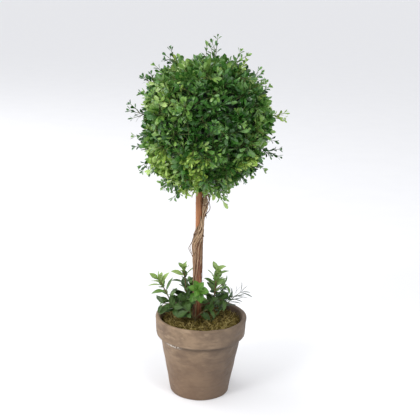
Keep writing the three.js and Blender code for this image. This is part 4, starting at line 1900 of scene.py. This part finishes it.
@dataclass
class LowSprig:
    """A sprig at the foot of the stick: its foot on plan, its tip, its side shoots and its kind."""

    name: str
    foot: Pair
    tip: Triple
    sides: tuple[SideShoot, ...]
    tints: tuple[SprigTint, ...] = (SprigTint.DARK, SprigTint.GREEN, SprigTint.FRESH)
    kind: SprigKind = SprigKind.BROAD
    stem_radius: float = 0.0014
    bend: float = 0.35
    bend_level: float = 0.55
    root: float = 0.004
    side_bow: float = 0.006

    def stem(self) -> Stem:
        """The sprig's line, by the rule of the solids.

        Returns:
            The line.
        """
        foot, tip = Vector((*self.foot, GROUND - self.root)), Vector(self.tip)
        bend = foot.lerp(tip, self.bend)
        bend.z = mixed(foot.z, self.tip[2], self.bend_level)
        return Stem(foot, bend, tip)

    def side_stem(self, side: SideShoot) -> Stem:
        """The line of a side shoot, which leaves the stem upwards and bends over."""
        foot, tip = self.stem().point(side.share), Vector(side.tip)
        return Stem(foot, foot.lerp(tip, 0.5) + UP * self.side_bow, tip)


@dataclass
class LowSprigs:
    """All sprigs at the foot of the stick."""

    stick: PeeledStick
    pot: ClayPot
    leaf_level: float = 0.127
    leaf_gap: float = 0.002
    bare_level: float = 0.154
    bare_width: float = 0.004
    stem_points: int = 16
    stem_sides: int = 7
    side_thin: float = 0.75
    relief: float = 0.0002
    grain: Triple = (0.003, 0.003, 0.006)
    bud_length: float = 0.7
    bud_opening: float = 22
    draw: Draw = field(default_factory=lambda: Draw(34))
    sprigs: tuple[LowSprig, ...] = (
        LowSprig("sprig_left", (-0.040, 0.002), (-0.069, -0.004, 0.189), (
            SideShoot(0.15, (-0.046, -0.016, 0.149)),
            SideShoot(0.30, (-0.062, -0.012, 0.152)),
            SideShoot(0.25, (-0.040, 0.018, 0.141)),
        )),
        LowSprig("sprig_mid_left", (-0.022, 0.016), (-0.030, 0.012, 0.203), (
            SideShoot(0.20, (-0.036, -0.006, 0.154)),
            SideShoot(0.25, (-0.022, -0.008, 0.160)),
            SideShoot(0.30, (-0.022, 0.034, 0.152), SprigTint.GREEN),
        ), (SprigTint.DARK, SprigTint.DARK, SprigTint.FRESH)),
        LowSprig("sprig_front", (-0.009, -0.020), (-0.006, -0.034, 0.186), (
            SideShoot(0.08, (-0.021, -0.027, 0.146)),
            SideShoot(0.10, (0.011, -0.028, 0.150)),
        ), (SprigTint.GREEN, SprigTint.BRIGHT, SprigTint.BRIGHT), SprigKind.ROSETTE,
            bend=0.1, bend_level=0.88),
        LowSprig("sprig_right", (0.019, 0.002), (0.024, -0.004, 0.206), (
            SideShoot(0.20, (0.013, -0.018, 0.160)),
            SideShoot(0.30, (0.034, -0.014, 0.163)),
            SideShoot(0.55, (0.035, 0.000, 0.184), SprigTint.GREEN),
        )),
        LowSprig("sprig_small_right", (0.028, 0.016), (0.036, 0.008, 0.176), (
            SideShoot(0.35, (0.022, 0.004, 0.168), SprigTint.BLUE),
            SideShoot(0.35, (0.046, 0.010, 0.160), SprigTint.BLUE),
        ), (SprigTint.BLUE,), SprigKind.SMALL),
        LowSprig("spray_narrow_right", (0.014, -0.014), (0.063, -0.008, 0.174), (
            SideShoot(0.45, (0.051, -0.012, 0.170), SprigTint.GREY),
        ), (SprigTint.GREY,), SprigKind.NARROW, 0.0009),
        LowSprig("sprig_back_left", (-0.020, 0.040), (-0.017, 0.046, 0.164), (
            SideShoot(0.20, (-0.034, 0.044, 0.142)),
        ), (SprigTint.DARK, SprigTint.GREEN, SprigTint.GREEN)),
        LowSprig("sprig_back_right", (0.018, 0.040), (0.024, 0.046, 0.170), (
            SideShoot(0.20, (0.036, 0.036, 0.150)),
        )),
    )

    def __post_init__(self) -> None:
        """Makes the shapes and the piles that leaves go to."""
        self.shapes = {kind: [blade.shape() for blade in kind.value.blades] for kind in SprigKind}
        self.piles = {tint: Scatter(tint.value.name + "_leaves") for tint in SprigTint}

    def in_room(self, pose: Matrix) -> bool:
        """Whether a leaf keeps clear of stick, moss and pot, and leaves the stick's foot in view.

        Args:
            pose: where the leaf would go.

        Returns:
            Whether it may grow there.
        """
        for share in (0.35, 0.7, 1.0):
            place = pose @ Vector((share, 0, 0))
            off_stick = place - self.stick.axis(place.z)
            inner = self.pot.inner_radius(place.z) - self.leaf_gap
            in_moss = place.z < self.leaf_level
            in_view = place.z < self.bare_level and place.y < 0
            in_view = in_view and abs(off_stick.x) < self.bare_width
            in_wall = place.z < self.pot.height and place.xy.length > inner
            if in_moss or in_view or in_wall or off_stick.xy.length < STICK_ROOM:
                return False
        return True

    def add_leaves(self, kind: SprigKind, stem: Stem, habit: Habit, tint: SprigTint) -> None:
        """Adds the leaves of one tier or side shoot.

        Args:
            kind: the kind of sprig.
            stem: what they grow on.
            habit: how they grow.
            tint: their green.
        """
        for pose, _ in stem.leaf_poses(habit, self.draw.between(0, 0.6), self.draw):
            if self.in_room(pose):
                self.piles[tint].add(self.draw.item(self.shapes[kind]), pose, self.draw.unit())

    def build_stems(self, sprig: LowSprig, stems: list[Stem]) -> None:
        """Models and dresses the stems of a sprig.

        Args:
            sprig: the sprig.
            stems: its stem and then its side shoots.
        """
        limbs = []
        for i, stem in enumerate(stems):
            radius = sprig.stem_radius * (self.side_thin if i else 1.0)
            steps = shares(self.stem_points)
            radii = [radius * mixed(1, 0.5, share) for share in steps]
            limbs.append(Limb([stem.point(share) for share in steps], radii, self.stem_sides))
        bm = swept(limbs)
        roughened(bm, self.relief, self.grain, len(sprig.name))
        flattened(bm, GROUND)
        bark = sprig.kind.value.bark.value
        made = piece(sprig.name + "_stem", bm, bark, sprig.tints[0].value.slot)
        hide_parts(sprig.name)

    def grow(self, sprig: LowSprig) -> None:
        """Grows one sprig.

        Args:
            sprig: its sizes.
        """
        growth, stem = sprig.kind.value, sprig.stem()
        side_stems = [sprig.side_stem(side) for side in sprig.sides]
        self.build_stems(sprig, [stem, *side_stems])
        for habit, tint in zip(growth.tiers, sprig.tints):
            self.add_leaves(sprig.kind, stem, habit, tint)
        for side, line in zip(sprig.sides, side_stems):
            self.add_leaves(sprig.kind, line, growth.side, side.tint)
        young_leaves = bud(growth.tiers[-1].length * self.bud_length, self.bud_opening)
        self.add_leaves(sprig.kind, stem, young_leaves, sprig.tints[-1])

    def build(self) -> None:
        """Grows every sprig and makes the pieces."""
        for sprig in self.sprigs:
            self.grow(sprig)
        for tint, pile in self.piles.items():
            pile.build(tint.value, tint.value.slot)


@dataclass(frozen=True)
class Panel:
    """A soft square light: its side, its place, its power and the place that it points at."""

    name: str
    size: float
    place: Triple
    power: float
    aim: Triple = (0, 0, 0.3)


@dataclass
class Studio:
    """Floor, light and camera."""

    eye: Vector = Vector((0.0098, -1.300, 0.646))
    pitch: float = math.radians(14.56)
    roll: float = math.radians(1.64)
    lens: float = 72.34
    floor_radius: float = 300.0
    floor_sides: int = 96
    far: float = 1000.0
    sky: float = 0.82
    sky_tint: Colour = (0.97, 0.98, 1.0, 1.0)
    sun: float = 0.47
    sun_angle: float = math.radians(50)
    sun_place: Triple = (-2.0, -1.2, 2.6)
    sun_aim: Triple = (0, 0, 0.3)
    panels: tuple[Panel, ...] = (
        Panel("key", 0.6, (-1.2, -1.3, 1.4), 13),
        Panel("glint", 0.35, (0.3, -1.0, 1.9), 5),
        Panel("spark", 0.1, (0.8, -1.0, 1.45), 3),
        Panel("wash", 2.0, (-2.4, 1.2, 1.8), 30, (-1.2, 1.0, 0)),
    )

    def build_floor(self) -> None:
        """Lays the pale floor."""
        bm = bmesh.new()
        bmesh.ops.create_circle(
            bm, cap_ends=True, segments=self.floor_sides, radius=self.floor_radius
        )
        mesh = bpy.data.meshes.new("floor")
        bm.to_mesh(mesh)
        bm.free()
        mesh.materials.append(FloorFinish().material())
        floor = bpy.data.objects.new("floor", mesh)
        bpy.context.scene.collection.objects.link(floor)

    def hang(self, light: bpy.types.Light, place: Triple, aim: Triple, power: float) -> None:
        """Hangs a light.

        Args:
            light: the light.
            place: where it hangs.
            aim: the place that it points at.
            power: its strength.
        """
        light.energy = power
        lamp = bpy.data.objects.new(light.name, light)
        bpy.context.scene.collection.objects.link(lamp)
        lamp.location = place
        lamp.rotation_euler = (Vector(aim) - Vector(place)).to_track_quat("-Z", "Y").to_euler()

    def build_light(self) -> None:
        """Sets the sky and hangs the lights."""
        world = bpy.data.worlds.new("pale_sky")
        world.use_nodes = True
        sky = world.node_tree.nodes["Background"]
        sky.inputs["Color"].default_value = self.sky_tint
        sky.inputs["Strength"].default_value = self.sky
        bpy.context.scene.world = world
        sun = bpy.data.lights.new("day", "SUN")
        sun.angle = self.sun_angle
        self.hang(sun, self.sun_place, self.sun_aim, self.sun)
        for panel in self.panels:
            light = bpy.data.lights.new(panel.name, "AREA")
            light.size = panel.size
            self.hang(light, panel.place, panel.aim, panel.power)
        bpy.context.scene.view_settings.view_transform = "Standard"

    def build_camera(self) -> None:
        """Sets the camera at the height and angle of the photograph."""
        data = bpy.data.cameras.new("camera")
        data.lens = self.lens
        data.clip_end = self.far
        camera = bpy.data.objects.new("camera", data)
        bpy.context.scene.collection.objects.link(camera)
        tilt = Matrix.Rotation(math.pi / 2 - self.pitch, 4, "X")
        roll = Matrix.Rotation(self.roll, 4, "Z")
        camera.matrix_world = Matrix.Translation(self.eye) @ tilt @ roll
        bpy.context.scene.camera = camera

    def build(self) -> None:
        """Sets up the studio."""
        self.build_floor()
        self.build_light()
        self.build_camera()


def main() -> None:
    """Builds the part piece by piece."""
    logging.basicConfig(level=logging.INFO, format="%(name)s %(message)s")
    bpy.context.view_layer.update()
    pot = ClayPot()
    stick = PeeledStick()
    pot.build()
    MossBed(pot).build()
    stick.build()
    VineBundle(stick).build()
    BoxCrown(stick).build()
    LowSprigs(stick, pot).build()
    Studio().build()


if __name__ == "__main__":
    main()
